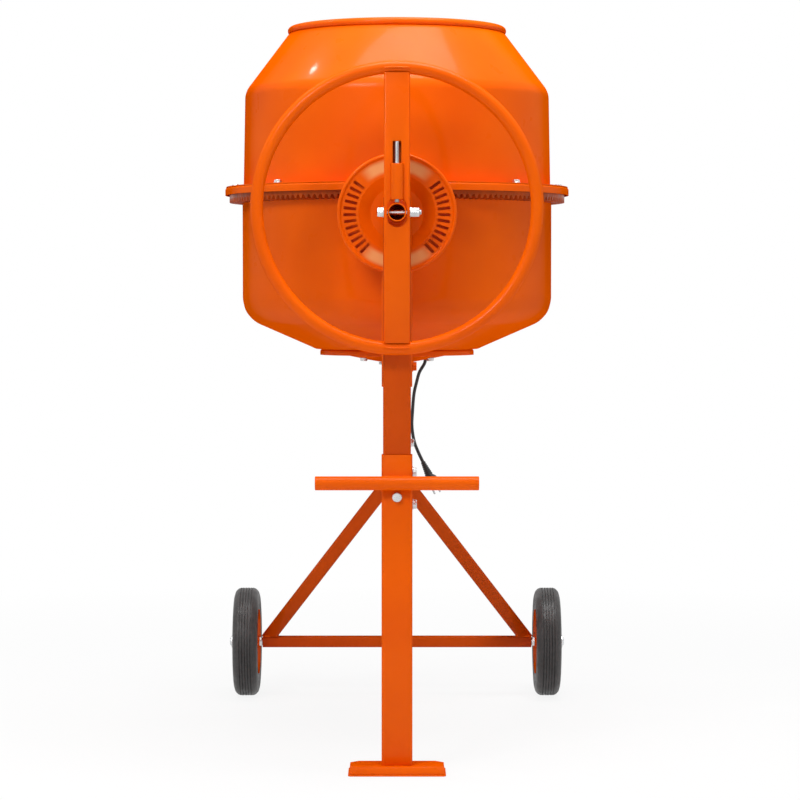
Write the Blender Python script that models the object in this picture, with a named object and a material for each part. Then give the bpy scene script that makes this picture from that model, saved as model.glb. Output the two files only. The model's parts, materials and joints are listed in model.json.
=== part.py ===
"""Tilting drum concrete mixer with a direction-locking hand wheel, an enclosed electric drive and two transport wheels.

Lengths are in millimetres and become metres when a solid is made. +Z is up, the hand wheel faces -Y,
and the origin is the middle of the foot's sole, under the front leg.
"""

import math

import bmesh
import bpy
from mathutils import Matrix, Vector

MM = 0.001
GAP = 0.3  # between pieces that are welded, bolted or resting face to face
TUBE_WALL = 2.5

# Driving places
PIVOT_Z = 1090.0  # the axis on which yoke and drum tilt
DRUM_Y = 437.0
REAR_Y = 863.0
AXLE_Y = REAR_Y + 187.0

# Foot, front leg and uprights
SOLE = (190.0, 90.0, 3.0)
FOOT_TOP = (183.0, 79.0, 17.0)
FOOT_CORNER_CUTS = (7.5, 16.0)  # at the sole plate, and at the top
FOOT_SHEET = 3.0
LEG = (60.0, 40.0)
LEG_TOP = 622.0
UPRIGHT_PLAY = 0.5
UPRIGHT = (LEG[0] - 2 * (TUBE_WALL + UPRIGHT_PLAY), LEG[1] - 2 * (TUBE_WALL + UPRIGHT_PLAY))
UPRIGHT_FOOT = 490.0
UPRIGHT_OVER_PIVOT = 30.0
SOCKET_BOTTOM = 478.0
SOCKET_TOP = 640.0
LEG_BOLT_Z = (588.0, 525.0)
REAR_BOLT_Z = 599.0
BEAM = 50.0
BEAM_Z = 540.0
BEAM_END_PLATE = 5.0
HANDLE_DIAMETER = 27.0
HANDLE_LENGTH = 317.0
HANDLE_Z = 568.0
HANDLE_WALL = 2.0

# Rear frame and wheels
STRUT = 30.0
STRUT_TOP_Z = 495.0
STRUT_FOOT_X = 297.0
AXLE_BEAM = 25.0
AXLE_BEAM_WALL = 2.0
AXLE_BEAM_HALF = 313.0
AXLE_DIAMETER = 20.0
WHEEL_DIAMETER = 250.0
WHEEL_WIDTH = 58.0
WHEEL_X = 349.0
TYRE_BORE = 126.0
HUB_WALL = 3.0
RIM_SHEET = 3.0

# Pivot tubes and bearing housings
PIVOT_TUBE = 36.0
PIVOT_TUBE_WALL = 2.5
PIVOT_TUBE_FRONT_Y = -74.0
HOUSING_DIAMETER = 46.0
HOUSING_FRONT_Y = -22.0
BEARING_PLAY = 0.3

# Index disc
DISC_RADIUS = 117.0
DISC_FACE_Y = 21.0
DISC_SHEET = 3.0
DISC_DISH_DEPTH = 12.0
DISC_FLAT_RADIUS = 52.0
DISC_DISH_RADIUS = 75.0
SLOT_RADII = (80.0, 104.0)
SLOT_WIDTH = 6.0
SLOT_PITCH = math.radians(7.6)
SLOT_COUNT = 12
FIRST_SLOT_TILT = math.radians(53.4)

# Hand wheel and latch
WHEEL_PLANE_Y = -50.0
HAND_WHEEL_RADIUS = 269.5
HAND_WHEEL_RISE = 8.0  # of the rim's middle above its hinge
HAND_WHEEL_TUBE = 25.0
SPOKE = (50.0, 25.0)
SPOKE_HOLE = (PIVOT_TUBE + 2.5, PIVOT_TUBE + 22.0)  # room for the pivot tube as the wheel rocks
GUIDE_Y = -64.0
GUIDE_DIAMETER = 24.0
GUIDE_BORE = 17.0
GUIDE_BOTTOM = 24.0
GUIDE_TOP = 93.0
GUIDE_CAP = 4.0
ROD_DIAMETER = 8.0
ROD_TOP = 135.0
COLLAR_Z = (30.0, 34.0)
WINDOW = (16.7, 136.0)
SPRING_WIRE = 1.6
SPRING_TURNS = 6
TOOTH_Z = (90.0, 100.0)
TOOTH_THICKNESS = 5.0
TOOTH_CLEARANCE = 0.5

# Yoke
YOKE_TUBE = (60.0, 30.0)
YOKE_FRONT_Y = 55.0
YOKE_REAR_Y = REAR_Y - 44.0
YOKE_BOTTOM = 752.0
YOKE_BASE_HEIGHT = 34.0

# Drum: heights are above the ground, with the drum upright
DRUM_SIDES = 36
WHEEL_SIDES = 24
SHELL_WALL = 2.0
LOWER_RADIUS = 323.0
LOWER_CORNER = ((LOWER_RADIUS, 922.0), (317.0, 897.0), (298.0, 875.5))
LOWER_CONE_FOOT = (178.0, 823.0)
DRUM_FLOOR_Z = 819.0
FLANGE_RADIUS = 359.0
FLANGE_SHEET = 2.4
FLANGE_LIP_BOTTOM = 1139.0
GEAR_TOP = 1151.0
UPPER_RADIUS = 320.5
UPPER_CORNER = ((317.0, 1347.0), (312.0, 1360.5))
CONE_TOP = (226.0, 1474.5)
LIP_RADIUS = 219.5
LIP_Z = 1481.5
LIP_ROLL = 8.5
PLATE_RADIUS = 161.0
PLATE_RIM_BOTTOM = 807.0
PLATE_SHEET = 3.0
HUB_BOTTOM = 792.0
HUB_TOP = 875.0
HUB_TUBE_RADIUS = 40.0
HUB_FLANGE_RADIUS = 100.0
HUB_CAP_HEIGHT = 4.0
SPINDLE_DIAMETER = 25.0
BALL_BEARING = (52.0, 15.0)
LOWER_BEARING_Z = 800.0
UPPER_BEARING_Z = 852.0
BLADE_Z = (945.0, 1300.0)
BLADE_HEIGHT = 66.0
BLADE_THICKNESS = 5.0
BLADE_SWEEP = math.radians(52.0)

# Gears: straight bevel teeth, whose profile shrinks towards the point where both axes meet
MODULE = 4.0
RING_TEETH = 168
PINION_TEETH = 18
RING_FACE = (324.5, 350.0)
PINION_FACE = (325.0, 349.0)
ADDENDUM = 3.2
DEDENDUM = 4.0
HALF_TOOTH = 2.75  # at the pitch line, which leaves about 0.8 mm of play at each flank
PRESSURE_TANGENT = math.tan(math.radians(20.0))
PINION_SHAFT = 20.0

# Drive, in its housing behind the rear upright
DRIVE_BOX_WIDTH = 280.0
DRIVE_BOX_TOP = 1235.0
DRIVE_BOX_DEPTH = 190.0
DRIVE_COVER_DEPTH = 16.0
DRIVE_SHEET = 2.0
MOTOR_Z = 902.0
MOTOR_RADIUS = 62.0
MOTOR_LENGTH = 130.0
MOTOR_SHAFT = 18.0
BELT_Y = REAR_Y + 45.0
BELT_WIDTH = 14.0
BELT_THICKNESS = 4.0
BELT_PLAY = 0.7
DRIVEN_RADIUS = 118.0
MOTOR_PULLEY_RADIUS = 20.5
PULLEY_FLANGE = 6.0

# Switch, gland, cord and plug
SWITCH_BOX = (46.0, 62.0, 110.0)
SWITCH_CENTRE = (REAR_Y + 102.0, 1065.0)
SWITCH_WALL = 2.5
BUTTON_RADIUS = 10.0
BUTTON_SPACING = 44.0
BUTTON_PROUD = 6.0
CORD_DIAMETER = 7.5
GLAND_X = 64.0
CORD_STRAIGHT = 18.0
CORD_Y = REAR_Y + 112.0
GLAND_LENGTH = 42.0
CORD_END = (59.2, 549.3)
PLUG_LENGTH = 62.0
PIN_LENGTH = 18.0
PIN_RADIUS = 2.4
PIN_SPACING = 19.0

# Bolts M10
BOLT_DIAMETER = 10.0
BOLT_FLATS = 17.0
BOLT_HEAD = 6.5
BOLT_NUT = 8.0
WASHER_DIAMETER = 21.0
WASHER_THICKNESS = 2.0
BOLT_HOLE = BOLT_DIAMETER + 2 * GAP

BODY_PLACES = {
    "stand": (0, 0, 0),
    "yoke": (0, DRUM_Y, PIVOT_Z),
    "hand_wheel": (0, WHEEL_PLANE_Y, PIVOT_Z),
    "latch_plunger": (0, GUIDE_Y, PIVOT_Z),
    "drum": (0, DRUM_Y, PIVOT_Z),
    "pinion": (0, DRUM_Y, PIVOT_Z),
    "motor_pulley": (0, BELT_Y, MOTOR_Z),
    "left_wheel": (-WHEEL_X, AXLE_Y, WHEEL_DIAMETER / 2),
    "right_wheel": (WHEEL_X, AXLE_Y, WHEEL_DIAMETER / 2),
    "start_button": (DRIVE_BOX_WIDTH / 2, SWITCH_CENTRE[0], SWITCH_CENTRE[1] + BUTTON_SPACING / 2),
    "stop_button": (DRIVE_BOX_WIDTH / 2, SWITCH_CENTRE[0], SWITCH_CENTRE[1] - BUTTON_SPACING / 2),
}
PARENT_BODY = {
    "hand_wheel": "yoke",
    "latch_plunger": "hand_wheel",
    "drum": "yoke",
    "pinion": "yoke",
}
FINISHES = {  # colour, roughness, metallic
    "orange_paint": ((0.80, 0.13, 0.005), 0.35, 0.0),
    "zinc": ((0.62, 0.62, 0.60), 0.30, 1.0),
    "steel": ((0.30, 0.29, 0.28), 0.45, 1.0),
    "rubber": ((0.015, 0.015, 0.016), 0.75, 0.0),
    "black_plastic": ((0.02, 0.02, 0.022), 0.50, 0.0),
    "green_plastic": ((0.02, 0.30, 0.06), 0.45, 0.0),
    "red_plastic": ((0.55, 0.01, 0.01), 0.45, 0.0),
}


# Scene, bodies and solids


def clear_scene():
    for thing in list(bpy.data.objects):
        bpy.data.objects.remove(thing, do_unlink=True)


def add_bodies():
    """One empty for each moving body, on its joint's axis."""
    for name, place in BODY_PLACES.items():
        empty = bpy.data.objects.new(name + "_body", None)
        bpy.context.scene.collection.objects.link(empty)
        parent = PARENT_BODY.get(name)
        if parent is None:
            empty.location = Vector(place) * MM
        else:
            empty.parent = bpy.data.objects[parent + "_body"]
            empty.location = (Vector(place) - Vector(BODY_PLACES[parent])) * MM


def finish_of(name):
    material = bpy.data.materials.get(name)
    if material is None:
        colour, roughness, metallic = FINISHES[name]
        material = bpy.data.materials.new(name)
        material.use_nodes = True
        shader = material.node_tree.nodes["Principled BSDF"]
        shader.inputs["Base Color"].default_value = (*colour, 1.0)
        shader.inputs["Roughness"].default_value = roughness
        shader.inputs["Metallic"].default_value = metallic
        material.diffuse_color = (*colour, 1.0)
    return material


def add_solid(name, shape, finish="orange_paint", body="stand"):
    """Turn a bmesh in world millimetres into an object that hangs on its body's empty."""
    place = Vector(BODY_PLACES[body])
    bmesh.ops.translate(shape, verts=shape.verts, vec=-place)
    bmesh.ops.scale(shape, verts=shape.verts, vec=(MM, MM, MM))
    bmesh.ops.recalc_face_normals(shape, faces=shape.faces)
    mesh = bpy.data.meshes.new(name)
    shape.to_mesh(mesh)
    shape.free()
    mesh.materials.append(finish_of(finish))
    mesh.shade_smooth()
    mesh.set_sharp_from_angle(angle=math.radians(35))
    solid = bpy.data.objects.new(name, mesh)
    bpy.context.scene.collection.objects.link(solid)
    solid.parent = bpy.data.objects[body + "_body"]
    return solid


def helper(name, shape, body="stand"):
    """A solid that only cuts or joins another one."""
    solid = add_solid(name, shape, body=body)
    solid.hide_render = True
    solid.display_type = "WIRE"
    return solid


def combine(solid, other, operation="DIFFERENCE"):
    modifier = solid.modifiers.new(other.name, "BOOLEAN")
    modifier.operation = operation
    modifier.solver = "EXACT"
    modifier.object = other


# Outlines: lists of (across, up) pairs


def circle(radius, sides, centre=(0.0, 0.0), turn=0.0):
    points = []
    for step in range(sides):
        angle = turn + math.tau * step / sides
        points.append((centre[0] + radius * math.cos(angle), centre[1] + radius * math.sin(angle)))
    return points


def arc(centre, radius, start, end, steps):
    points = []
    for step in range(steps + 1):
        angle = start + (end - start) * step / steps
        points.append((centre[0] + radius * math.cos(angle), centre[1] + radius * math.sin(angle)))
    return points


def rounded_rectangle(width, height, radius, steps=1):
    points = []
    for quarter, (side, level) in enumerate(((1, 1), (-1, 1), (-1, -1), (1, -1))):
        centre = (side * (width / 2 - radius), level * (height / 2 - radius))
        start = quarter * math.pi / 2
        points += arc(centre, radius, start, start + math.pi / 2, steps)
    return points


def hexagon(flats):
    """Twelve points, so that a hexagon joins on to a twelve-sided round."""
    points = []
    for step in range(12):
        radius = flats / 2 if step % 2 else flats / math.sqrt(3)
        points.append((radius * math.cos(step * math.pi / 6), radius * math.sin(step * math.pi / 6)))
    return points


def scaled(points, factor):
    return [(factor * across, factor * up) for across, up in points]


def offset_path(points, distance):
    """The open path moved to its left by a distance, mitred at the corners."""
    moved = []
    for index, point in enumerate(points):
        before = Vector(points[max(index - 1, 0)])
        here = Vector(point)
        after = Vector(points[min(index + 1, len(points) - 1)])
        one = (here - before).normalized() if index > 0 else (after - here).normalized()
        two = (after - here).normalized() if index < len(points) - 1 else one
        across = (Vector((-one.y, one.x)) + Vector((-two.y, two.x))).normalized()
        reach = distance / max(across.dot(Vector((-one.y, one.x))), 0.2)
        moved.append(tuple(here + across * reach))
    return moved


# Shapes: each returns a bmesh


def along(axis, place, level):
    """Put an outline pair and a level along an axis into space."""
    across, up = place
    return {"X": (level, across, up), "Y": (across, level, up), "Z": (across, up, level)}[axis]


def loft(loops, ring=False):
    """Join loops of equal count; a ring joins the last to the first, otherwise both ends are capped."""
    shape = bmesh.new()
    rows = [[shape.verts.new(point) for point in loop] for loop in loops]
    count = len(rows[0])
    pairs = list(zip(rows, rows[1:]))
    if ring:
        pairs.append((rows[-1], rows[0]))
    for low, high in pairs:
        for index in range(count):
            after = (index + 1) % count
            shape.faces.new((low[index], low[after], high[after], high[index]))
    if not ring:
        shape.faces.new(rows[0])
        shape.faces.new(rows[-1])
    return shape


def prism(outline, axis, start, end, centre=(0.0, 0.0)):
    moved = [(across + centre[0], up + centre[1]) for across, up in outline]
    return loft([[along(axis, point, level) for point in moved] for level in (start, end)])


def tube(outline, bore, axis, start, end, centre=(0.0, 0.0)):
    """Open at both ends."""
    loops = []
    for points, level in ((outline, start), (outline, end), (bore, end), (bore, start)):
        loops.append([along(axis, (a + centre[0], u + centre[1]), level) for a, u in points])
    return loft(loops, ring=True)


def cup(outline, bore, axis, closed_end, open_end, floor, centre=(0.0, 0.0)):
    """A tube with a floor of its own at one end."""
    step = math.copysign(floor, open_end - closed_end)
    loops = []
    stations = ((outline, closed_end), (outline, open_end), (bore, open_end), (bore, closed_end + step))
    for points, level in stations:
        loops.append([along(axis, (a + centre[0], u + centre[1]), level) for a, u in points])
    return loft(loops)


def turned(profile, sides, axis, centre, turn=0.0):
    """Revolve a closed profile of (radius, level) pairs about an axis through centre."""
    shape = bmesh.new()
    rows = []
    for radius, level in profile:
        if radius <= 0:
            rows.append([shape.verts.new(along(axis, centre, level))])
        else:
            ring = circle(radius, sides, centre, turn)
            rows.append([shape.verts.new(along(axis, point, level)) for point in ring])
    for low, high in zip(rows, rows[1:] + rows[:1]):
        for index in range(sides):
            after = (index + 1) % sides
            if len(low) == 1 and len(high) == 1:
                break
            if len(low) == 1:
                shape.faces.new((low[0], high[after], high[index]))
            elif len(high) == 1:
                shape.faces.new((low[index], low[after], high[0]))
            else:
                shape.faces.new((low[index], low[after], high[after], high[index]))
    return shape


def box_tube(size, wall, axis, start, end, centre):
    outline = rounded_rectangle(size[0], size[1], 1.6 * wall)
    bore = rounded_rectangle(size[0] - 2 * wall, size[1] - 2 * wall, 0.6 * wall)
    return tube(outline, bore, axis, start, end, centre)


def add_bolt(name, axis, start, end, centre, nut=True, body="stand"):
    """An M10 bolt with its washers; it grips what lies between start and end, and its head is beyond end."""
    way = 1 if end > start else -1
    clear = way * GAP
    washer = way * WASHER_THICKNESS
    head = end + clear + washer
    round_shank = circle(BOLT_DIAMETER / 2, 12)
    round_washer = circle(WASHER_DIAMETER / 2, 12)
    stations = [
        (hexagon(BOLT_FLATS), head + way * BOLT_HEAD),
        (hexagon(BOLT_FLATS), head),
        (round_washer, head),
        (round_washer, end + clear),
        (round_shank, end + clear),
    ]
    if nut:
        seat = start - clear - washer
        stations += [
            (round_shank, start - clear),
            (round_washer, start - clear),
            (round_washer, seat),
            (hexagon(BOLT_FLATS), seat),
            (hexagon(BOLT_FLATS), seat - way * BOLT_NUT),
            (round_shank, seat - way * BOLT_NUT),
            (round_shank, seat - way * (BOLT_NUT + BOLT_DIAMETER / 3)),
        ]
    else:
        stations.append((round_shank, start))
    loops = []
    for outline, level in stations:
        loops.append([along(axis, (a + centre[0], u + centre[1]), level) for a, u in outline])
    return add_solid(name, loft(loops), "zinc", body)


def round_cutter(name, axis, diameter, start, end, centre, body="stand", sides=12):
    return helper(name, prism(circle(diameter / 2, sides), axis, start, end, centre), body)


def box_cutter(name, low, high, body="stand"):
    size = (high[0] - low[0], high[1] - low[1])
    middle = ((high[0] + low[0]) / 2, (high[1] + low[1]) / 2)
    outline = [(size[0] / 2, size[1] / 2), (-size[0] / 2, size[1] / 2)]
    outline += [(-size[0] / 2, -size[1] / 2), (size[0] / 2, -size[1] / 2)]
    return helper(name, prism(outline, "Z", low[2], high[2], middle), body)


# Stand


def cut_rectangle(width, depth, cut):
    """A rectangle whose corners are cut off at 45 degrees."""
    x, y = width / 2, depth / 2
    outline = [(x, cut - y), (x, y - cut), (x - cut, y), (cut - x, y)]
    return outline + [(-x, y - cut), (-x, cut - y), (cut - x, -y), (x - cut, -y)]


def foot():
    outline = rounded_rectangle(SOLE[0], SOLE[1], 4)
    add_solid("foot_sole_plate", prism(outline, "Z", 0, SOLE[2]))
    low = SOLE[2] + GAP
    high = FOOT_TOP[2]
    low_cut, high_cut = FOOT_CORNER_CUTS
    base = cut_rectangle(SOLE[0] - 4, SOLE[1] - 4, low_cut)
    top = cut_rectangle(FOOT_TOP[0], FOOT_TOP[1], high_cut)
    inner_base = cut_rectangle(SOLE[0] - 4 - 2 * FOOT_SHEET, SOLE[1] - 4 - 2 * FOOT_SHEET, low_cut - 1)
    inner_top = cut_rectangle(FOOT_TOP[0] - 2 * FOOT_SHEET, FOOT_TOP[1] - 2 * FOOT_SHEET, high_cut - 1)
    stations = ((top, high), (base, low), (inner_base, low), (inner_top, high - FOOT_SHEET))
    add_solid("foot_channel", loft([[(x, y, z) for x, y in loop] for loop, z in stations]))


def front_frame():
    leg = box_tube(LEG, TUBE_WALL, "Z", FOOT_TOP[2] + GAP, LEG_TOP, (0, 0))
    leg = add_solid("front_leg", leg)
    top = PIVOT_Z + UPRIGHT_OVER_PIVOT
    upright = add_solid("front_upright", box_tube(UPRIGHT, TUBE_WALL, "Z", UPRIGHT_FOOT, top, (0, 0)))
    for name, level in zip(("leg_bolt_upper", "leg_bolt_lower"), LEG_BOLT_Z):
        add_bolt(name, "X", UPRIGHT[0] / 2 - TUBE_WALL, LEG[0] / 2, (0, level))
        cutter = round_cutter(name + "_hole", "X", BOLT_HOLE, 0, LEG[0], (0, level))
        combine(leg, cutter)
        combine(upright, cutter)
    housing_cutter = round_cutter(
        "front_housing_hole", "Y", HOUSING_DIAMETER + 2 * GAP, -LEG[1], LEG[1], (0, PIVOT_Z), sides=20
    )
    combine(upright, housing_cutter)
    bar_y = -LEG[1] / 2 - HANDLE_DIAMETER / 2 - GAP
    outline = circle(HANDLE_DIAMETER / 2, 16)
    bore = circle(HANDLE_DIAMETER / 2 - HANDLE_WALL, 16)
    half = HANDLE_LENGTH / 2
    add_solid("handle_bar", tube(outline, bore, "X", -half, half, (bar_y, HANDLE_Z)))
    return leg, upright


def lower_beam(leg, upright):
    front = LEG[1] / 2 + GAP
    rear = REAR_Y - LEG[1] / 2 - GAP
    outline = rounded_rectangle(BEAM, BEAM, 4)
    bore = rounded_rectangle(BEAM - 2 * TUBE_WALL, BEAM - 2 * TUBE_WALL, 2)
    beam = add_solid("lower_beam", cup(outline, bore, "Y", front, rear, BEAM_END_PLATE, (0, BEAM_Z)))
    add_bolt("beam_bolt", "Y", front + BEAM_END_PLATE, -LEG[1] / 2, (0, BEAM_Z))
    cutter = round_cutter("beam_bolt_hole", "Y", BOLT_HOLE, -LEG[1], LEG[1], (0, BEAM_Z))
    for piece in (leg, upright, beam):
        combine(piece, cutter)


def strut(name, side):
    """A square tube cut off flat against the socket's side and on top of the axle beam."""
    start = Vector((side * (LEG[0] / 2 + GAP), REAR_Y, STRUT_TOP_Z))
    foot_z = WHEEL_DIAMETER / 2 + AXLE_BEAM / 2 + GAP
    end = Vector((side * STRUT_FOOT_X, AXLE_Y, foot_z))
    way = (end - start).normalized()
    across = way.cross(Vector((0, 1, 0))).normalized()
    upward = way.cross(across).normalized()
    loops = []
    walls = (STRUT, STRUT - 2 * AXLE_BEAM_WALL)
    for size, at_end in ((walls[0], False), (walls[0], True), (walls[1], True), (walls[1], False)):
        loop = []
        for a, u in rounded_rectangle(size, size, size / 10, 1):
            corner = start + across * a + upward * u
            if at_end:
                corner += way * ((foot_z - corner.z) / way.z)
            else:
                corner += way * ((start.x - corner.x) / way.x)
            loop.append(tuple(corner))
        loops.append(loop)
    add_solid(name, loft(loops, ring=True))


def rear_frame():
    top = PIVOT_Z + UPRIGHT_OVER_PIVOT
    centre = (0, REAR_Y)
    socket = add_solid("rear_leg_socket", box_tube(LEG, TUBE_WALL, "Z", SOCKET_BOTTOM, SOCKET_TOP, centre))
    upright = add_solid("rear_upright", box_tube(UPRIGHT, TUBE_WALL, "Z", UPRIGHT_FOOT, top, centre))
    add_bolt("rear_bolt", "X", UPRIGHT[0] / 2 - TUBE_WALL, LEG[0] / 2, (REAR_Y, REAR_BOLT_Z))
    cutter = round_cutter("rear_bolt_hole", "X", BOLT_HOLE, 0, LEG[0], (REAR_Y, REAR_BOLT_Z))
    combine(socket, cutter)
    combine(upright, cutter)
    low = REAR_Y - LEG[1]
    housing_cutter = round_cutter(
        "rear_housing_hole", "Y", HOUSING_DIAMETER + 2 * GAP, low, REAR_Y + LEG[1], (0, PIVOT_Z), sides=20
    )
    combine(upright, housing_cutter)
    strut("left_strut", -1)
    strut("right_strut", 1)
    axle_z = WHEEL_DIAMETER / 2
    beam = box_tube((AXLE_BEAM, AXLE_BEAM), AXLE_BEAM_WALL, "X", -AXLE_BEAM_HALF, AXLE_BEAM_HALF, (AXLE_Y, axle_z))
    add_solid("axle_beam", beam)
    hub_end = WHEEL_X + WHEEL_WIDTH / 2 + 4
    radius = AXLE_DIAMETER / 2
    half = [(0, hub_end + 7), (radius - 2, hub_end + 7), (radius, hub_end + 5), (radius, hub_end + 3 + GAP)]
    half += [(radius + 5, hub_end + 3 + GAP), (radius + 5, hub_end + GAP), (radius, hub_end + GAP)]
    profile = half + [(r, -x) for r, x in reversed(half)]
    add_solid("axle", turned(profile, 12, "X", (AXLE_Y, axle_z)), "zinc")
    return housing_cutter


def bearing_housings():
    outline = circle(HOUSING_DIAMETER / 2, 20)
    bore = circle(PIVOT_TUBE / 2 + BEARING_PLAY, 20)
    rear = DISC_FACE_Y + DISC_DISH_DEPTH + DISC_SHEET
    add_solid("front_bearing_housing", tube(outline, bore, "Y", HOUSING_FRONT_Y, rear, (0, PIVOT_Z)))
    low = REAR_Y - LEG[1] / 2 - 1
    high = REAR_Y + LEG[1] / 2 + 1
    add_solid("rear_bearing_housing", tube(outline, bore, "Y", low, high, (0, PIVOT_Z)))


def index_disc():
    face = DISC_FACE_Y
    back = face + DISC_SHEET
    floor = face + DISC_DISH_DEPTH
    rim = DISC_RADIUS
    bore = HOUSING_DIAMETER / 2 + GAP
    profile = [(bore, floor), (DISC_FLAT_RADIUS, floor), (DISC_DISH_RADIUS, face), (rim - 4, face), (rim, face + 4)]
    profile += [(rim, floor), (rim - DISC_SHEET, floor), (rim - DISC_SHEET, back + 3), (rim - 6, back)]
    profile += [(DISC_DISH_RADIUS + 1, back), (DISC_FLAT_RADIUS + 1, floor + DISC_SHEET), (bore, floor + DISC_SHEET)]
    disc = add_solid("index_disc", turned(profile, DRUM_SIDES, "Y", (0, PIVOT_Z)))
    slots = bmesh.new()
    add_slot(slots, 0.0)
    for side in (1, -1):
        for step in range(SLOT_COUNT):
            tilt = side * (FIRST_SLOT_TILT + step * SLOT_PITCH)
            add_slot(slots, tilt)
    combine(disc, helper("index_slots", slots))


def add_slot(shape, tilt):
    """One radial slot, at the place that the latch tooth has with the drum tilted so far."""
    corners = []
    for radius, across in ((0, -1), (0, 1), (1, 1), (1, -1)):
        corners.append((across * SLOT_WIDTH / 2, SLOT_RADII[radius]))
    turn = Matrix.Rotation(tilt, 3, "Y")
    rows = []
    for level in (DISC_FACE_Y - 2, DISC_FACE_Y + DISC_SHEET + 2):
        row = []
        for across, out in corners:
            point = turn @ Vector((across, 0, out))
            row.append(shape.verts.new((point.x, level, point.z + PIVOT_Z)))
        rows.append(row)
    for index in range(4):
        after = (index + 1) % 4
        shape.faces.new((rows[0][index], rows[0][after], rows[1][after], rows[1][index]))
    shape.faces.new(rows[0])
    shape.faces.new(rows[1])


# Yoke, hand wheel and latch


def yoke():
    top = PIVOT_Z + UPRIGHT_OVER_PIVOT
    half = YOKE_TUBE[1] / 2
    front_arm = box_tube(YOKE_TUBE, TUBE_WALL, "Z", YOKE_BOTTOM, top, (0, YOKE_FRONT_Y))
    add_solid("yoke_front_arm", front_arm, body="yoke")
    rear_arm = box_tube(YOKE_TUBE, TUBE_WALL, "Z", YOKE_BOTTOM, top, (0, YOKE_REAR_Y))
    rear_arm = add_solid("yoke_rear_arm", rear_arm, body="yoke")
    low = YOKE_REAR_Y - YOKE_TUBE[1]
    high = YOKE_REAR_Y + YOKE_TUBE[1]
    shaft_hole = round_cutter("pinion_shaft_hole", "Y", PINION_SHAFT + 4, low, high, (0, PIVOT_Z), "yoke")
    combine(rear_arm, shaft_hole)
    base_z = YOKE_BOTTOM + YOKE_BASE_HEIGHT / 2
    start = YOKE_FRONT_Y + half + GAP
    end = YOKE_REAR_Y - half - GAP
    base = box_tube((YOKE_TUBE[0], YOKE_BASE_HEIGHT), TUBE_WALL, "Y", start, end, (0, base_z))
    add_solid("yoke_base", base, body="yoke")
    outline = circle(PIVOT_TUBE / 2, 20)
    bore = circle(PIVOT_TUBE / 2 - PIVOT_TUBE_WALL, 20)
    arm_face = YOKE_FRONT_Y - half - GAP
    front = tube(outline, bore, "Y", PIVOT_TUBE_FRONT_Y, arm_face, (0, PIVOT_Z))
    front = add_solid("front_pivot_tube", front, body="yoke")
    bolt_place = (WHEEL_PLANE_Y, PIVOT_Z)
    reach = SPOKE[0]
    combine(front, round_cutter("hinge_hole", "X", BOLT_HOLE, -reach, reach, bolt_place, "yoke"))
    rear_face = YOKE_REAR_Y + half + GAP
    rear_end = REAR_Y + LEG[1] / 2 + 3
    rear = tube(outline, bore, "Y", rear_face, rear_end, (0, PIVOT_Z))
    add_solid("rear_pivot_tube", rear, body="yoke")
    add_bolt("hand_wheel_bolt", "X", SPOKE[0] / 2, -SPOKE[0] / 2, bolt_place, body="yoke")
    spindle()


def spindle():
    """The drum turns on this post, which stands on the yoke's base."""
    low = YOKE_BOTTOM + YOKE_BASE_HEIGHT + GAP
    radius = SPINDLE_DIAMETER / 2
    seat = LOWER_BEARING_Z - GAP
    top = UPPER_BEARING_Z + BALL_BEARING[1]
    profile = [(0, low), (38, low), (38, low + 4.5), (radius + 4, low + 4.5), (radius + 4, seat)]
    profile += [(radius, seat), (radius, top + 2), (radius - 2, top + 4), (0, top + 4)]
    add_solid("drum_spindle", turned(profile, 20, "Z", (0, DRUM_Y)), "steel", "yoke")


def hand_wheel():
    middle = PIVOT_Z + HAND_WHEEL_RISE
    section = circle(HAND_WHEEL_TUBE / 2, 8, (HAND_WHEEL_RADIUS, WHEEL_PLANE_Y))
    rim = turned(section, DRUM_SIDES, "Y", (0, middle))
    add_solid("hand_wheel_rim", rim, body="hand_wheel")
    inner = (HAND_WHEEL_RADIUS - HAND_WHEEL_TUBE / 2) * math.cos(math.pi / DRUM_SIDES)
    reach = math.sqrt(inner**2 - (SPOKE[0] / 2) ** 2) - GAP
    spoke = box_tube(SPOKE, TUBE_WALL, "Z", middle - reach, middle + reach, (0, WHEEL_PLANE_Y))
    spoke = add_solid("hand_wheel_spoke", spoke, body="hand_wheel")
    front = WHEEL_PLANE_Y - SPOKE[1]
    rear = WHEEL_PLANE_Y + SPOKE[1]
    width = SPOKE_HOLE[0] / 2
    rise = SPOKE_HOLE[1] / 2 - width
    oval = arc((0, rise), width, 0, math.pi, 8) + arc((0, -rise), width, math.pi, math.tau, 8)
    combine(spoke, helper("shaft_oval", prism(oval, "Y", front, rear, (0, PIVOT_Z)), "hand_wheel"))
    bolt_place = (WHEEL_PLANE_Y, PIVOT_Z)
    bolt_hole = round_cutter("spoke_bolt_hole", "X", BOLT_HOLE, -SPOKE[0], SPOKE[0], bolt_place, "hand_wheel")
    combine(spoke, bolt_hole)
    cavity_front = WHEEL_PLANE_Y - SPOKE[1] / 2 + TUBE_WALL + 0.1
    half = GUIDE_DIAMETER / 2 + GAP
    guide_slot = box_cutter(
        "guide_slot", (-half, front, PIVOT_Z), (half, cavity_front, PIVOT_Z + GUIDE_TOP + GAP), "hand_wheel"
    )
    combine(spoke, guide_slot)
    half = WINDOW[0] / 2
    window = box_cutter("rod_window", (-half, front, PIVOT_Z), (half, cavity_front, PIVOT_Z + WINDOW[1]), "hand_wheel")
    combine(spoke, window)


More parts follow.
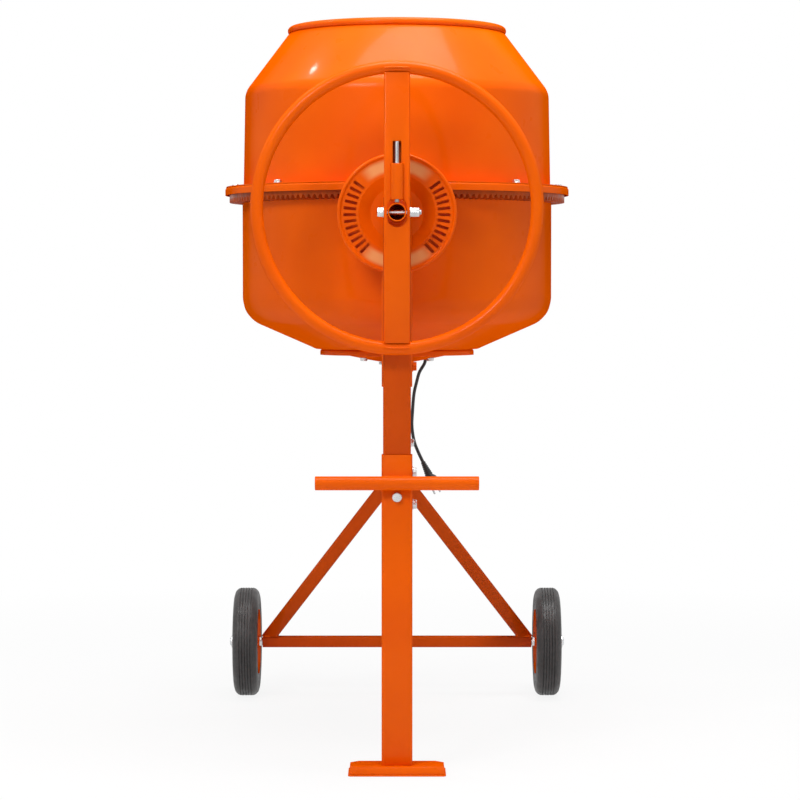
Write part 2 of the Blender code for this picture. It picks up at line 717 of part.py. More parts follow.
def latch():
    place = (0, GUIDE_Y)
    bottom = PIVOT_Z + GUIDE_BOTTOM
    top = PIVOT_Z + GUIDE_TOP
    rod = ROD_DIAMETER / 2
    bore = GUIDE_BORE / 2
    outer = GUIDE_DIAMETER / 2
    guide = [(bore, bottom), (outer, bottom), (outer, top - 2), (outer - 2, top), (rod + GAP, top)]
    guide += [(rod + GAP, top - GUIDE_CAP), (bore, top - GUIDE_CAP)]
    add_solid("latch_guide", turned(guide, 16, "Z", place), body="hand_wheel")
    tip = PIVOT_Z + PIVOT_TUBE / 2 + GAP
    collar = (PIVOT_Z + COLLAR_Z[0], PIVOT_Z + COLLAR_Z[1])
    plunger = [(0, tip), (rod - 1, tip), (rod, tip + 1), (rod, collar[0]), (bore - GAP, collar[0])]
    plunger += [(bore - GAP, collar[1]), (rod, collar[1]), (rod, PIVOT_Z + ROD_TOP - 1)]
    plunger += [(rod - 1, PIVOT_Z + ROD_TOP), (0, PIVOT_Z + ROD_TOP)]
    add_solid("latch_plunger", turned(plunger, 12, "Z", place), "zinc", "latch_plunger")
    coil_radius = (bore + rod) / 2
    low = collar[1] + SPRING_WIRE / 2 + 1.2
    high = top - GUIDE_CAP - SPRING_WIRE / 2 - GAP
    add_solid("latch_spring", coil(place, coil_radius, low, high), "steel", "hand_wheel")
    rear_face = WHEEL_PLANE_Y + SPOKE[1] / 2 + GAP
    half = TOOTH_THICKNESS / 2
    outline = [(half, TOOTH_Z[0]), (half, TOOTH_Z[1]), (-half, TOOTH_Z[1]), (-half, TOOTH_Z[0])]
    tooth = prism(outline, "Y", rear_face, DISC_FACE_Y - TOOTH_CLEARANCE, (0, PIVOT_Z))
    add_solid("latch_tooth", tooth, "steel", "hand_wheel")


def coil(place, radius, low, high):
    steps = 8
    loops = []
    for step in range(SPRING_TURNS * steps + 1):
        angle = math.tau * step / steps
        level = low + (high - low) * step / (SPRING_TURNS * steps)
        loop = []
        for out, up in circle(SPRING_WIRE / 2, 4):
            reach = radius + out
            loop.append((place[0] + reach * math.cos(angle), place[1] + reach * math.sin(angle), level + up))
        loops.append(loop)
    return loft(loops)


# Drum


def lower_shell_lines():
    """The outer and the inner wall line, from the flange down to the edge of the floor."""
    outside = [(LOWER_RADIUS, GEAR_TOP + GAP), *LOWER_CORNER, LOWER_CONE_FOOT]
    return outside, offset_path(outside, -SHELL_WALL)


def lower_shell():
    outside, inside = lower_shell_lines()
    sheet = GEAR_TOP + GAP
    top = sheet + FLANGE_SHEET
    hole = HUB_TUBE_RADIUS + GAP
    edge = LOWER_CONE_FOOT[0] - 8
    lip = FLANGE_RADIUS - FLANGE_SHEET
    profile = [(FLANGE_RADIUS, FLANGE_LIP_BOTTOM), (FLANGE_RADIUS, top), (inside[0][0], top)]
    profile += inside[1:-1] + [(edge, DRUM_FLOOR_Z + SHELL_WALL), (hole, DRUM_FLOOR_Z + SHELL_WALL)]
    profile += [(hole, DRUM_FLOOR_Z), (edge, DRUM_FLOOR_Z)] + outside[::-1]
    profile += [(lip, sheet), (lip, FLANGE_LIP_BOTTOM)]
    add_solid("drum_lower_shell", turned(profile, DRUM_SIDES, "Z", (0, DRUM_Y)), body="drum")


def upper_shell():
    low = GEAR_TOP + 2 * GAP + FLANGE_SHEET
    top = low + FLANGE_SHEET
    outside = [(UPPER_RADIUS, low), *UPPER_CORNER, CONE_TOP]
    inside = offset_path(outside, SHELL_WALL)
    edge = FLANGE_RADIUS - 2
    roll = arc((LIP_RADIUS, LIP_Z), LIP_ROLL, math.radians(-20), math.radians(245), 5)
    wall_top = UPPER_RADIUS - 0.05
    profile = [(edge, low), (edge, top), (wall_top, top)] + outside[1:] + roll + inside[:0:-1]
    profile.append((inside[0][0], low))
    add_solid("drum_upper_shell", turned(profile, DRUM_SIDES, "Z", (0, DRUM_Y)), body="drum")


def bottom_and_hub():
    high = DRUM_FLOOR_Z - GAP
    under = high - PLATE_SHEET
    bore = HUB_TUBE_RADIUS + GAP
    rim = PLATE_RADIUS - PLATE_SHEET
    plate = [(bore, high), (PLATE_RADIUS - 3, high), (PLATE_RADIUS, high - 3), (PLATE_RADIUS, PLATE_RIM_BOTTOM)]
    plate += [(rim, PLATE_RIM_BOTTOM), (rim, under), (bore, under)]
    add_solid("drum_bottom_plate", turned(plate, WHEEL_SIDES, "Z", (0, DRUM_Y)), body="drum")
    bearing = BALL_BEARING[0] / 2 + GAP
    seat = under - GAP
    hub = [(bearing, HUB_BOTTOM), (bearing + 9, HUB_BOTTOM), (58, HUB_BOTTOM + 4), (HUB_FLANGE_RADIUS, seat - 11)]
    hub += [(HUB_FLANGE_RADIUS, seat), (HUB_TUBE_RADIUS, seat), (HUB_TUBE_RADIUS, HUB_TOP), (bearing, HUB_TOP)]
    add_solid("drum_hub", turned(hub, WHEEL_SIDES, "Z", (0, DRUM_Y)), body="drum")
    low = HUB_TOP + GAP
    top = low + HUB_CAP_HEIGHT
    cap = [(0, low), (HUB_TUBE_RADIUS, low), (HUB_TUBE_RADIUS, top - 1.5), (HUB_TUBE_RADIUS - 2, top), (0, top)]
    add_solid("hub_cap", turned(cap, 16, "Z", (0, DRUM_Y)), body="drum")
    ball_bearing("lower_bearing", LOWER_BEARING_Z)
    ball_bearing("upper_bearing", UPPER_BEARING_Z)


def ball_bearing(name, low):
    outer, width = BALL_BEARING[0] / 2, BALL_BEARING[1]
    inner = SPINDLE_DIAMETER / 2 + GAP
    high = low + width
    profile = [(inner, low), (inner + 4, low), (inner + 4, low + 1.5), (outer - 4, low + 1.5), (outer - 4, low)]
    profile += [(outer, low), (outer, high), (inner, high)]
    add_solid(name, turned(profile, 16, "Z", (0, DRUM_Y)), "steel", "drum")


def blade(name, start):
    """A mixing blade: a flat bar on edge that climbs the inside of both shells."""
    steps = 12
    loops = []
    flat = math.cos(math.pi / DRUM_SIDES)
    wall_top = UPPER_CORNER[0]
    taper = (UPPER_RADIUS - wall_top[0]) / (wall_top[1] - GEAR_TOP)
    for step in range(steps + 1):
        share = step / steps
        level = BLADE_Z[0] + (BLADE_Z[1] - BLADE_Z[0]) * share
        angle = start + BLADE_SWEEP * share
        wall = UPPER_RADIUS - SHELL_WALL - taper * max(level - GEAR_TOP, 0)
        outer = wall * flat - GAP
        loop = []
        for reach, side in ((outer, 1), (outer, -1), (outer - BLADE_HEIGHT, -1), (outer - BLADE_HEIGHT, 1)):
            x = reach * math.cos(angle) - side * BLADE_THICKNESS / 2 * math.sin(angle)
            y = reach * math.sin(angle) + side * BLADE_THICKNESS / 2 * math.cos(angle)
            loop.append((x, DRUM_Y + y, level))
        loops.append(loop)
    add_solid(name, loft(loops), body="drum")


# Gears


def ring_gear():
    """Teeth face down. Each tooth's sides lie on one chord, so they are flat."""
    reference = PIVOT_Z
    pitch = math.tau / RING_TEETH
    pitch_height = MODULE * PINION_TEETH / 2
    middle = MODULE * RING_TEETH / 2
    root = pitch_height + DEDENDUM
    tip = pitch_height - ADDENDUM
    half_root = (HALF_TOOTH + DEDENDUM * PRESSURE_TANGENT) / middle
    half_tip = (HALF_TOOTH - ADDENDUM * PRESSURE_TANGENT) / middle
    shape = bmesh.new()
    edge_angle = math.tan(pitch / 2)
    stations = ((-edge_angle, root), (-half_root, root), (-half_tip, tip), (half_tip, tip), (half_root, root))
    walls = []
    for radius in RING_FACE:
        tops = []
        lows = []
        for tooth in range(RING_TEETH):
            angle = math.pi / 2 + pitch * (tooth + 0.5)
            out = Vector((math.cos(angle), math.sin(angle), 0))
            side = Vector((-math.sin(angle), math.cos(angle), 0))
            row = []
            for slope, height in stations:
                point = Vector((0, DRUM_Y, reference)) + radius * (out + side * slope)
                point.z = reference + height * radius / middle
                row.append(shape.verts.new(point))
            lows.append(row)
            corner = Vector((0, DRUM_Y, GEAR_TOP)) + radius * (out - side * edge_angle)
            tops.append(shape.verts.new(corner))
        walls.append((tops, lows))
    for tops, lows in walls:
        for tooth in range(RING_TEETH):
            after = (tooth + 1) % RING_TEETH
            shape.faces.new((tops[tooth], *lows[tooth], lows[after][0], tops[after]))
    (inner_tops, inner_lows), (outer_tops, outer_lows) = walls
    for tooth in range(RING_TEETH):
        after = (tooth + 1) % RING_TEETH
        shape.faces.new((inner_tops[tooth], inner_tops[after], outer_tops[after], outer_tops[tooth]))
        inner = inner_lows[tooth] + [inner_lows[after][0]]
        outer = outer_lows[tooth] + [outer_lows[after][0]]
        for index in range(len(stations)):
            shape.faces.new((inner[index], inner[index + 1], outer[index + 1], outer[index]))
    add_solid("ring_gear", shape, "steel", "drum")


def pinion_outline():
    """One turn of points at the reference distance, with the first tooth pointing up."""
    pitch_radius = MODULE * PINION_TEETH / 2
    base = pitch_radius * math.cos(math.atan(PRESSURE_TANGENT))
    at_pitch = math.tan(math.acos(base / pitch_radius)) - math.acos(base / pitch_radius)
    flank = []
    for radius in (pitch_radius - DEDENDUM, pitch_radius, pitch_radius + ADDENDUM):
        spread = HALF_TOOTH / pitch_radius + at_pitch
        if radius > base:
            pressure = math.acos(base / radius)
            spread -= math.tan(pressure) - pressure
        flank.append((radius, spread))
    teeth = []
    for tooth in range(PINION_TEETH):
        middle = math.pi / 2 + math.tau * tooth / PINION_TEETH
        row = [(radius, middle - spread) for radius, spread in flank]
        row += [(radius, middle + spread) for radius, spread in reversed(flank)]
        teeth.append([(radius * math.cos(angle), radius * math.sin(angle)) for radius, angle in row])
    return teeth


def pinion():
    middle = MODULE * RING_TEETH / 2
    bore = circle(PINION_SHAFT / 2 + GAP, PINION_TEETH, turn=math.pi / 2 - math.pi / PINION_TEETH)
    shape = bmesh.new()
    faces = []
    for distance in PINION_FACE:
        level = DRUM_Y + distance
        teeth = []
        for row in pinion_outline():
            points = scaled(row, distance / middle)
            teeth.append([shape.verts.new((x, level, PIVOT_Z + z)) for x, z in points])
        ring = [shape.verts.new((x, level, PIVOT_Z + z)) for x, z in bore]
        faces.append((teeth, ring))
    for teeth, ring in faces:
        for tooth in range(PINION_TEETH):
            after = (tooth + 1) % PINION_TEETH
            shape.faces.new((ring[tooth], *teeth[tooth], teeth[after][0], ring[after]))
    (near_teeth, near_ring), (far_teeth, far_ring) = faces
    for tooth in range(PINION_TEETH):
        after = (tooth + 1) % PINION_TEETH
        shape.faces.new((near_ring[tooth], near_ring[after], far_ring[after], far_ring[tooth]))
        near = near_teeth[tooth] + [near_teeth[after][0]]
        far = far_teeth[tooth] + [far_teeth[after][0]]
        for index in range(len(near) - 1):
            shape.faces.new((near[index], near[index + 1], far[index + 1], far[index]))
    add_solid("pinion", shape, "steel", "pinion")
    start = DRUM_Y + PINION_FACE[0]
    end = BELT_Y + BELT_WIDTH / 2 + 12
    radius = PINION_SHAFT / 2
    shaft = [(0, start), (radius - 1, start), (radius, start + 1), (radius, end - 1), (radius - 1, end), (0, end)]
    add_solid("pinion_shaft", turned(shaft, 16, "Y", (0, PIVOT_Z)), "steel", "pinion")


# Drive


def belt_pulley(name, radius, bore, sides, place, body):
    half = BELT_WIDTH / 2 + 1
    flange = radius + PULLEY_FLANGE
    cheek = half + 2.5
    profile = [(bore, BELT_Y - cheek), (flange, BELT_Y - cheek), (flange, BELT_Y - half), (radius, BELT_Y - half)]
    profile += [(radius, BELT_Y + half), (flange, BELT_Y + half), (flange, BELT_Y + cheek)]
    if radius > 60:
        web = 3
        profile += [(radius - 12, BELT_Y + cheek), (radius - 12, BELT_Y - cheek + web), (bore + 12, BELT_Y - cheek + web)]
        profile.append((bore + 12, BELT_Y + cheek))
    profile.append((bore, BELT_Y + cheek))
    add_solid(name, turned(profile, sides, "Y", place), "steel", body)


def belt():
    """A flat loop round both pulleys, with straight runs between the arcs."""
    lean = math.asin((DRIVEN_RADIUS - MOTOR_PULLEY_RADIUS) / (PIVOT_Z - MOTOR_Z))
    loops = []
    for level, grow in ((-1, 0), (1, 0), (1, 1), (-1, 1)):
        extra = BELT_PLAY + grow * BELT_THICKNESS
        top = arc((0, PIVOT_Z), DRIVEN_RADIUS + extra, -lean, math.pi + lean, 24)
        low = arc((0, MOTOR_Z), MOTOR_PULLEY_RADIUS + extra, math.pi + lean, math.tau - lean, 8)
        y = BELT_Y + level * BELT_WIDTH / 2
        loops.append([(x, y, z) for x, z in top + low])
    add_solid("drive_belt", loft(loops, ring=True), "rubber")


def motor():
    front = BELT_Y + BELT_WIDTH / 2 + 16
    rear = front + MOTOR_LENGTH
    shaft = MOTOR_SHAFT / 2
    start = BELT_Y - BELT_WIDTH / 2 - 6
    radius = MOTOR_RADIUS
    profile = [(0, start), (shaft, start), (shaft, front - 6), (shaft + 12, front - 6), (radius - 4, front)]
    profile += [(radius, front + 4), (radius, rear - 12), (radius - 10, rear), (0, rear)]
    add_solid("motor", turned(profile, 24, "Y", (0, MOTOR_Z)), "steel")
    belt_pulley("motor_pulley", MOTOR_PULLEY_RADIUS, shaft + GAP, 16, (0, MOTOR_Z), "motor_pulley")


def drive_box(housing_cutter):
    low = MOTOR_Z - MOTOR_RADIUS - 2 * GAP - DRIVE_SHEET
    height = DRIVE_BOX_TOP - low
    centre = (0, low + height / 2)
    front = REAR_Y + LEG[1] / 2 + GAP
    rear = front + DRIVE_BOX_DEPTH
    outline = rounded_rectangle(DRIVE_BOX_WIDTH, height, 40, 4)
    bore = rounded_rectangle(DRIVE_BOX_WIDTH - 2 * DRIVE_SHEET, height - 2 * DRIVE_SHEET, 40 - DRIVE_SHEET, 4)
    housing = add_solid("motor_housing", cup(outline, bore, "Y", front, rear, DRIVE_SHEET, centre))
    combine(housing, housing_cutter)
    start = rear + GAP
    cover = cup(outline, bore, "Y", start + DRIVE_COVER_DEPTH, start, DRIVE_SHEET, centre)
    add_solid("motor_cover", cover)
    return housing, low


def switch_box(housing):
    width, depth, height = SWITCH_BOX
    start = DRIVE_BOX_WIDTH / 2 + GAP
    outline = rounded_rectangle(depth, height, 6)
    bore = rounded_rectangle(depth - 2 * SWITCH_WALL, height - 2 * SWITCH_WALL, 6 - SWITCH_WALL)
    end = start + width
    box = add_solid("switch_box", cup(outline, bore, "X", end, start, SWITCH_WALL, SWITCH_CENTRE), "black_plastic")
    for name, side, finish in (("start_button", 1, "green_plastic"), ("stop_button", -1, "red_plastic")):
        place = (SWITCH_CENTRE[0], SWITCH_CENTRE[1] + side * BUTTON_SPACING / 2)
        hole = 2 * (BUTTON_RADIUS + GAP)
        combine(box, round_cutter(name + "_hole", "X", hole, end - 6, end + 6, place, sides=16))
        inside = end - SWITCH_WALL - GAP
        profile = [(0, inside - 4), (BUTTON_RADIUS + 3, inside - 4), (BUTTON_RADIUS + 3, inside)]
        profile += [(BUTTON_RADIUS, inside), (BUTTON_RADIUS, end + BUTTON_PROUD - 1)]
        profile += [(BUTTON_RADIUS - 1, end + BUTTON_PROUD), (0, end + BUTTON_PROUD)]
        add_solid(name, turned(profile, 16, "X", place), finish, name)


def gland(housing, floor_z):
    place = (GLAND_X, CORD_Y)
    bottom = floor_z - GLAND_LENGTH
    radius = 10.0
    relief = CORD_DIAMETER / 2 + 1.5
    profile = [(0, bottom), (relief, bottom), (relief + 3, floor_z - 12), (radius + 4, floor_z - 10)]
    profile += [(radius + 4, floor_z - GAP), (radius, floor_z - GAP), (radius, floor_z + 8), (0, floor_z + 8)]
    add_solid("cable_gland", turned(profile, 12, "Z", place), "black_plastic")
    cutter = round_cutter("gland_hole", "Z", 2 * (radius + GAP), floor_z - 5, floor_z + 5, place)
    combine(housing, cutter)
    return bottom


def smooth_route(points, spacing):
    """Points at even spacing on a Catmull-Rom curve through the route."""
    ends = [2 * points[0] - points[1], *points, 2 * points[-1] - points[-2]]
    fine = []
    for index in range(1, len(ends) - 2):
        before, here, after, beyond = ends[index - 1 : index + 3]
        for step in range(20):
            t = step / 20
            bend = 2 * before - 5 * here + 4 * after - beyond
            twist = 3 * here - before - 3 * after + beyond
            fine.append((2 * here + (after - before) * t + bend * t**2 + twist * t**3) / 2)
    fine.append(points[-1])
    kept = [fine[0]]
    travelled = 0.0
    for one, two in zip(fine, fine[1:]):
        travelled += (two - one).length
        if travelled >= spacing:
            kept.append(two)
            travelled = 0.0
    if (kept[-1] - fine[-1]).length < spacing / 2:
        kept.pop()
    kept.append(fine[-1])
    return kept


def cord_route(gland_bottom):
    """Down out of the gland, in by the rear upright, and out again to the hanging plug."""
    middle = [(51.5, 755), (45.2, 733), (39, 705), (35.6, 664), (34.4, 630), (39.6, 596), (48.6, 572)]
    route = [Vector((GLAND_X, CORD_Y, gland_bottom - GAP)), Vector((GLAND_X, CORD_Y, gland_bottom - CORD_STRAIGHT))]
    route += [Vector((x, CORD_Y, z)) for x, z in middle]
    route.append(Vector((CORD_END[0], CORD_Y, CORD_END[1])))
    return route


def cord(gland_bottom):
    points = smooth_route(cord_route(gland_bottom), 2 * CORD_DIAMETER)
    curve = bpy.data.curves.new("cord", "CURVE")
    curve.dimensions = "3D"
    curve.bevel_depth = CORD_DIAMETER / 2 * MM
    curve.bevel_resolution = 2
    curve.use_fill_caps = True
    line = curve.splines.new("POLY")
    line.points.add(len(points) - 1)
    for place, point in zip(line.points, points):
        place.co = (*(point * MM), 1.0)
    curve.materials.append(finish_of("rubber"))
    solid = bpy.data.objects.new("cord", curve)
    bpy.context.scene.collection.objects.link(solid)
    plug((points[-1] - points[-2]).normalized(), points[-1])


def plug(way, cord_end):
    """Tapered relief, round body and two pins, in line with the cord's end."""
    start = cord_end + way * GAP
    across = way.cross(Vector((0, 1, 0))).normalized()
    upward = way.cross(across).normalized()
    loops = []
    stations = ((0, 5), (6, 5.6), (36, 10), (40, 13.5), (45, 15), (PLUG_LENGTH - 4, 15), (PLUG_LENGTH, 13.5))
    for reach, radius in stations:
        centre = start + way * reach
        loops.append([tuple(centre + across * a + upward * u) for a, u in circle(radius, 12)])
    body = add_solid("plug", loft(loops), "black_plastic")
    spread = (across + upward).normalized() * PIN_SPACING / 2
    for name, side in (("near_pin", -1), ("far_pin", 1)):
        loops = []
        root = start + way * (PLUG_LENGTH - 6) + spread * side
        for reach in (0, PIN_LENGTH + 6):
            loops.append([tuple(root + way * reach + across * a + upward * u) for a, u in circle(PIN_RADIUS, 8)])
        combine(body, helper(name, loft(loops)), "UNION")


# Transport wheels


def transport_wheel(name, side):
    centre = (AXLE_Y, WHEEL_DIAMETER / 2)
    middle = side * WHEEL_X
    body = name + "_wheel"
    outer = WHEEL_DIAMETER / 2
    half = WHEEL_WIDTH / 2
    bore = TYRE_BORE / 2
    one_side = [(outer, 14), (outer - 2, 20), (outer - 8, 26), (outer - 18, half), (bore + 16, half - 3), (bore, 18)]
    profile = one_side + [(r, -x) for r, x in reversed(one_side)]
    tyre = turned([(r, x + middle) for r, x in profile], WHEEL_SIDES, "X", centre)
    add_solid(name + "_tyre", tyre, "rubber", body)
    barrel = bore - GAP
    sheet = RIM_SHEET
    hub = AXLE_DIAMETER / 2 + GAP
    edge = 21.5
    web = 2.0
    outside = [(barrel, edge - 3), (bore + 12, edge + 4.5), (bore + 12, edge + 7), (barrel - sheet, edge)]
    outside += [(barrel - sheet, web), (hub + HUB_WALL, web), (hub + HUB_WALL, half + 3)]
    near = [(hub, half + 3), (hub, -half), (hub + HUB_WALL, -half)]
    inside = [(r, -x) for r, x in reversed(outside[:-1])]
    rim = turned([(r, middle + side * x) for r, x in outside + near + inside], WHEEL_SIDES, "X", centre)
    add_solid(name + "_rim", rim, "orange_paint", body)


def main():
    clear_scene()
    add_bodies()
    foot()
    leg, front_upright = front_frame()
    lower_beam(leg, front_upright)
    rear_housing_cutter = rear_frame()
    bearing_housings()
    index_disc()
    yoke()
    hand_wheel()
    latch()
    lower_shell()
    upper_shell()
    bottom_and_hub()
    blade("blade_1", 0.0)
    blade("blade_2", math.pi)
    ring_gear()
    pinion()
    belt_pulley("driven_pulley", DRIVEN_RADIUS, PINION_SHAFT / 2 + GAP, WHEEL_SIDES, (0, PIVOT_Z), "pinion")
    belt()
    motor()
    housing, floor_z = drive_box(rear_housing_cutter)
    switch_box(housing)
    cord(gland(housing, floor_z))
    transport_wheel("left", -1)
    transport_wheel("right", 1)


main()
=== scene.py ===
"""Looks of the tilting drum concrete mixer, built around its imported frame.

Lengths are in millimetres and become metres when a piece is made; +Z is up and the hand wheel faces -Y.
"""

import json
import math

import bmesh
import bpy
from mathutils import Matrix, Vector, noise

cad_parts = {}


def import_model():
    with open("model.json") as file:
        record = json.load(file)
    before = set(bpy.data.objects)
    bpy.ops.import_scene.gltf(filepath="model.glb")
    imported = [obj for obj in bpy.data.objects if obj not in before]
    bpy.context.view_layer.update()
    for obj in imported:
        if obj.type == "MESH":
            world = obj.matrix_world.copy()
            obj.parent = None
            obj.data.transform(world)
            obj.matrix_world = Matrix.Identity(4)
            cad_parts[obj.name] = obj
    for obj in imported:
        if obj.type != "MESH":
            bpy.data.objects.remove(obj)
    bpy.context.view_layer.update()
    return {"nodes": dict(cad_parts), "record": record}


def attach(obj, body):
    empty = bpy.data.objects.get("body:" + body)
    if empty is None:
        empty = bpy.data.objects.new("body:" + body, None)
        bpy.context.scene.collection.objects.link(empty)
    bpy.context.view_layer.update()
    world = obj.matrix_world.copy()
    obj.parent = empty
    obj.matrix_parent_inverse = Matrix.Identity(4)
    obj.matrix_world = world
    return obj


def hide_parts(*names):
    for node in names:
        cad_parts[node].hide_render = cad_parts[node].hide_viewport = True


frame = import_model()

MM = 0.001
BODIES = frame["record"]["behaviour"]["bodies"]
BODY_OF = {node: body for body, nodes in BODIES.items() for node in nodes}
REPLACED = set()

# Places and sizes that the pieces share with the frame
PIVOT_Z = 1090.0
DRUM_Y = 437.0
REAR_Y = 863.0
WHEEL_PLANE_Y = -50.0
HAND_WHEEL_RADIUS = 269.5
HAND_WHEEL_Z = PIVOT_Z + 8.0
GUIDE_Y = -64.0
AXLE_Y = 1050.0
WHEEL_RADIUS = 125.0
WHEEL_X = 349.0
LEG = (60, 40)
UPRIGHT = (54, 34)
FRAME_WALL = 2.5

# Sides of the large turned pieces and of the bolts
FINE = 160
BOLT_SIDES = 24


# Shapes: each returns a bmesh in world millimetres


def along(axis, pair, level):
    """The point at a level of the axis; the pair holds its two other coordinates."""
    across, up = pair
    return {"X": (level, across, up), "Y": (across, level, up), "Z": (across, up, level)}[axis]


def arc(centre, radius, start, end, steps):
    """Points on an arc, with its angles in degrees."""
    points = []
    for step in range(steps + 1):
        angle = math.radians(start + (end - start) * step / steps)
        points.append((centre[0] + radius * math.cos(angle), centre[1] + radius * math.sin(angle)))
    return points


def circle(radius, sides, centre=(0.0, 0.0)):
    return arc(centre, radius, 0, 360 - 360 / sides, sides - 1)


def rounded_rectangle(width, height, radius, steps=4):
    points = []
    for quarter, (side, level) in enumerate(((1, 1), (-1, 1), (-1, -1), (1, -1))):
        centre = (side * (width / 2 - radius), level * (height / 2 - radius))
        points += arc(centre, radius, quarter * 90, quarter * 90 + 90, steps)
    return points


def rounded(points, radius, steps=4):
    """An open path whose inner corners are replaced by arcs, each limited by its shorter side."""
    result = [points[0]]
    for before, here, after in zip(points, points[1:], points[2:]):
        here = Vector(here)
        back = Vector(before) - here
        onward = Vector(after) - here
        turn = back.angle(onward)
        if turn > math.radians(176):
            result.append(tuple(here))
            continue
        reach = min(radius / math.tan(turn / 2), 0.45 * back.length, 0.45 * onward.length)
        bend = reach * math.tan(turn / 2)
        start = here + back.normalized() * reach
        end = here + onward.normalized() * reach
        inward = (back.normalized() + onward.normalized()).normalized()
        centre = here + inward * (bend / math.sin(turn / 2))
        for step in range(steps + 1):
            share = step / steps
            chord = start.lerp(end, share) - centre
            result.append(tuple(centre + chord.normalized() * bend))
    result.append(points[-1])
    return result


def offset_path(points, distance):
    """The open path moved to its left by a distance, mitred at the corners."""
    moved = []
    for index, point in enumerate(points):
        here = Vector(point)
        ahead = Vector(points[min(index + 1, len(points) - 1)]) - here
        behind = here - Vector(points[max(index - 1, 0)])
        one = (behind if index > 0 else ahead).normalized()
        two = (ahead if index < len(points) - 1 else behind).normalized()
        across = (Vector((-one.y, one.x)) + Vector((-two.y, two.x))).normalized()
        moved.append(tuple(here + across * distance / max(across.dot(Vector((-one.y, one.x))), 0.3)))
    return moved


def loft(loops, ring=False):
    """A skin over loops with as many points each, closed by its two ends or, in a ring, by itself."""
    shape = bmesh.new()
    rows = [[shape.verts.new(point) for point in loop] for loop in loops]
    count = len(rows[0])
    pairs = list(zip(rows, rows[1:]))
    if ring:
        pairs.append((rows[-1], rows[0]))
    for low, high in pairs:
        for index in range(count):
            after = (index + 1) % count
            shape.faces.new((low[index], low[after], high[after], high[index]))
    if not ring:
        shape.faces.new(rows[0])
        shape.faces.new(rows[-1])
    return shape


def stacked(stations, axis, centre):
    """A closed shape through outlines that each lie at a level of the axis."""
    loops = []
    for outline, level in stations:
        loops.append([along(axis, (a + centre[0], u + centre[1]), level) for a, u in outline])
    return loft(loops)


def prism(outline, axis, start, end, centre=(0.0, 0.0)):
    return stacked([(outline, start), (outline, end)], axis, centre)


def turned(profile, sides, axis, centre, ripple=None):
    """A closed profile of (radius, level) pairs revolved; ripple(level) is added to the radius there."""
    shape = bmesh.new()
    rows = []
    for radius, level in profile:
        if radius <= 0:
            rows.append([shape.verts.new(along(axis, centre, level))])
            continue
        row = []
        for side in range(sides):
            angle = math.tau * side / sides
            reach = radius + (ripple(level) if ripple else 0)
            pair = (centre[0] + reach * math.cos(angle), centre[1] + reach * math.sin(angle))
            row.append(shape.verts.new(along(axis, pair, level)))
        rows.append(row)
    for low, high in zip(rows, rows[1:] + rows[:1]):
        if len(low) == 1 and len(high) == 1:
            continue
        for index in range(sides):
            after = (index + 1) % sides
            if len(low) == 1:
                shape.faces.new((low[0], high[after], high[index]))
            elif len(high) == 1:
                shape.faces.new((low[index], low[after], high[0]))
            else:
                shape.faces.new((low[index], low[after], high[after], high[index]))
    return shape


def tube(outline, bore, axis, start, end, centre=(0.0, 0.0), edge=0.6):
    """An open tube whose rims are slightly rounded."""
    way = math.copysign(edge, end - start)
    stations = [
        (outline, -edge, start),
        (outline, 0, start + way),
        (outline, 0, end - way),
        (outline, -edge, end),
        (bore, edge, end),
        (bore, 0, end - way),
        (bore, 0, start + way),
        (bore, edge, start),
    ]
    loops = []
    for points, grow, level in stations:
        loop = []
        for across, up in points:
            size = math.hypot(across, up)
            scale = (size + grow) / size
            loop.append(along(axis, (across * scale + centre[0], up * scale + centre[1]), level))
        loops.append(loop)
    return loft(loops, ring=True)


def swept(path, radii, sides):
    """A round bar along a path, with a radius at each of its points."""
    loops = []
    side = None
    for index, point in enumerate(path):
        way = (path[min(index + 1, len(path) - 1)] - path[max(index - 1, 0)]).normalized()
        if side is None:
            side = way.orthogonal().normalized()
        side = (side - way * side.dot(way)).normalized()
        up = way.cross(side)
        loops.append([tuple(point + side * a + up * u) for a, u in circle(radii[index], sides)])
    return loft(loops)


# Pieces


def new_object(name, shape):
    """The shape as a linked object, in metres."""
    bmesh.ops.scale(shape, verts=shape.verts, vec=(MM, MM, MM))
    bmesh.ops.recalc_face_normals(shape, faces=shape.faces)
    mesh = bpy.data.meshes.new(name)
    shape.to_mesh(mesh)
    shape.free()
    made = bpy.data.objects.new(name, mesh)
    bpy.context.scene.collection.objects.link(made)
    return made


def add_piece(name, shape, material, body, nodes=(), sharp=35, cuts=()):
    """One visible piece, which rides its body and stands for the nodes; sharp is its smoothing angle."""
    piece = new_object(name, shape)
    cut_out(piece, cuts)
    piece.data.shade_smooth()
    piece.data.set_sharp_from_angle(angle=math.radians(sharp))
    piece.data.materials.clear()
    piece.data.materials.append(material)
    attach(piece, body)
    if nodes:
        replace(piece, *nodes)
    return piece


def replace(piece, *nodes):
    """Mark the nodes as shown by the piece, so that remaining() leaves them out."""
    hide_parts(*nodes)
    REPLACED.update(nodes)


def cut_out(piece, cuts):
    """Subtract each shape, and keep the result as the piece's own mesh."""
    if not cuts:
        return
    cutters = []
    for shape in cuts:
        cutter = new_object("cutter", shape)
        cutters.append(cutter)
        modifier = piece.modifiers.new("cut", "BOOLEAN")
        modifier.object = cutter
    bpy.context.view_layer.update()
    evaluated = piece.evaluated_get(bpy.context.evaluated_depsgraph_get())
    result = bpy.data.meshes.new_from_object(evaluated)
    piece.modifiers.clear()
    piece.data = result
    for cutter in cutters:
        bpy.data.objects.remove(cutter, do_unlink=True)


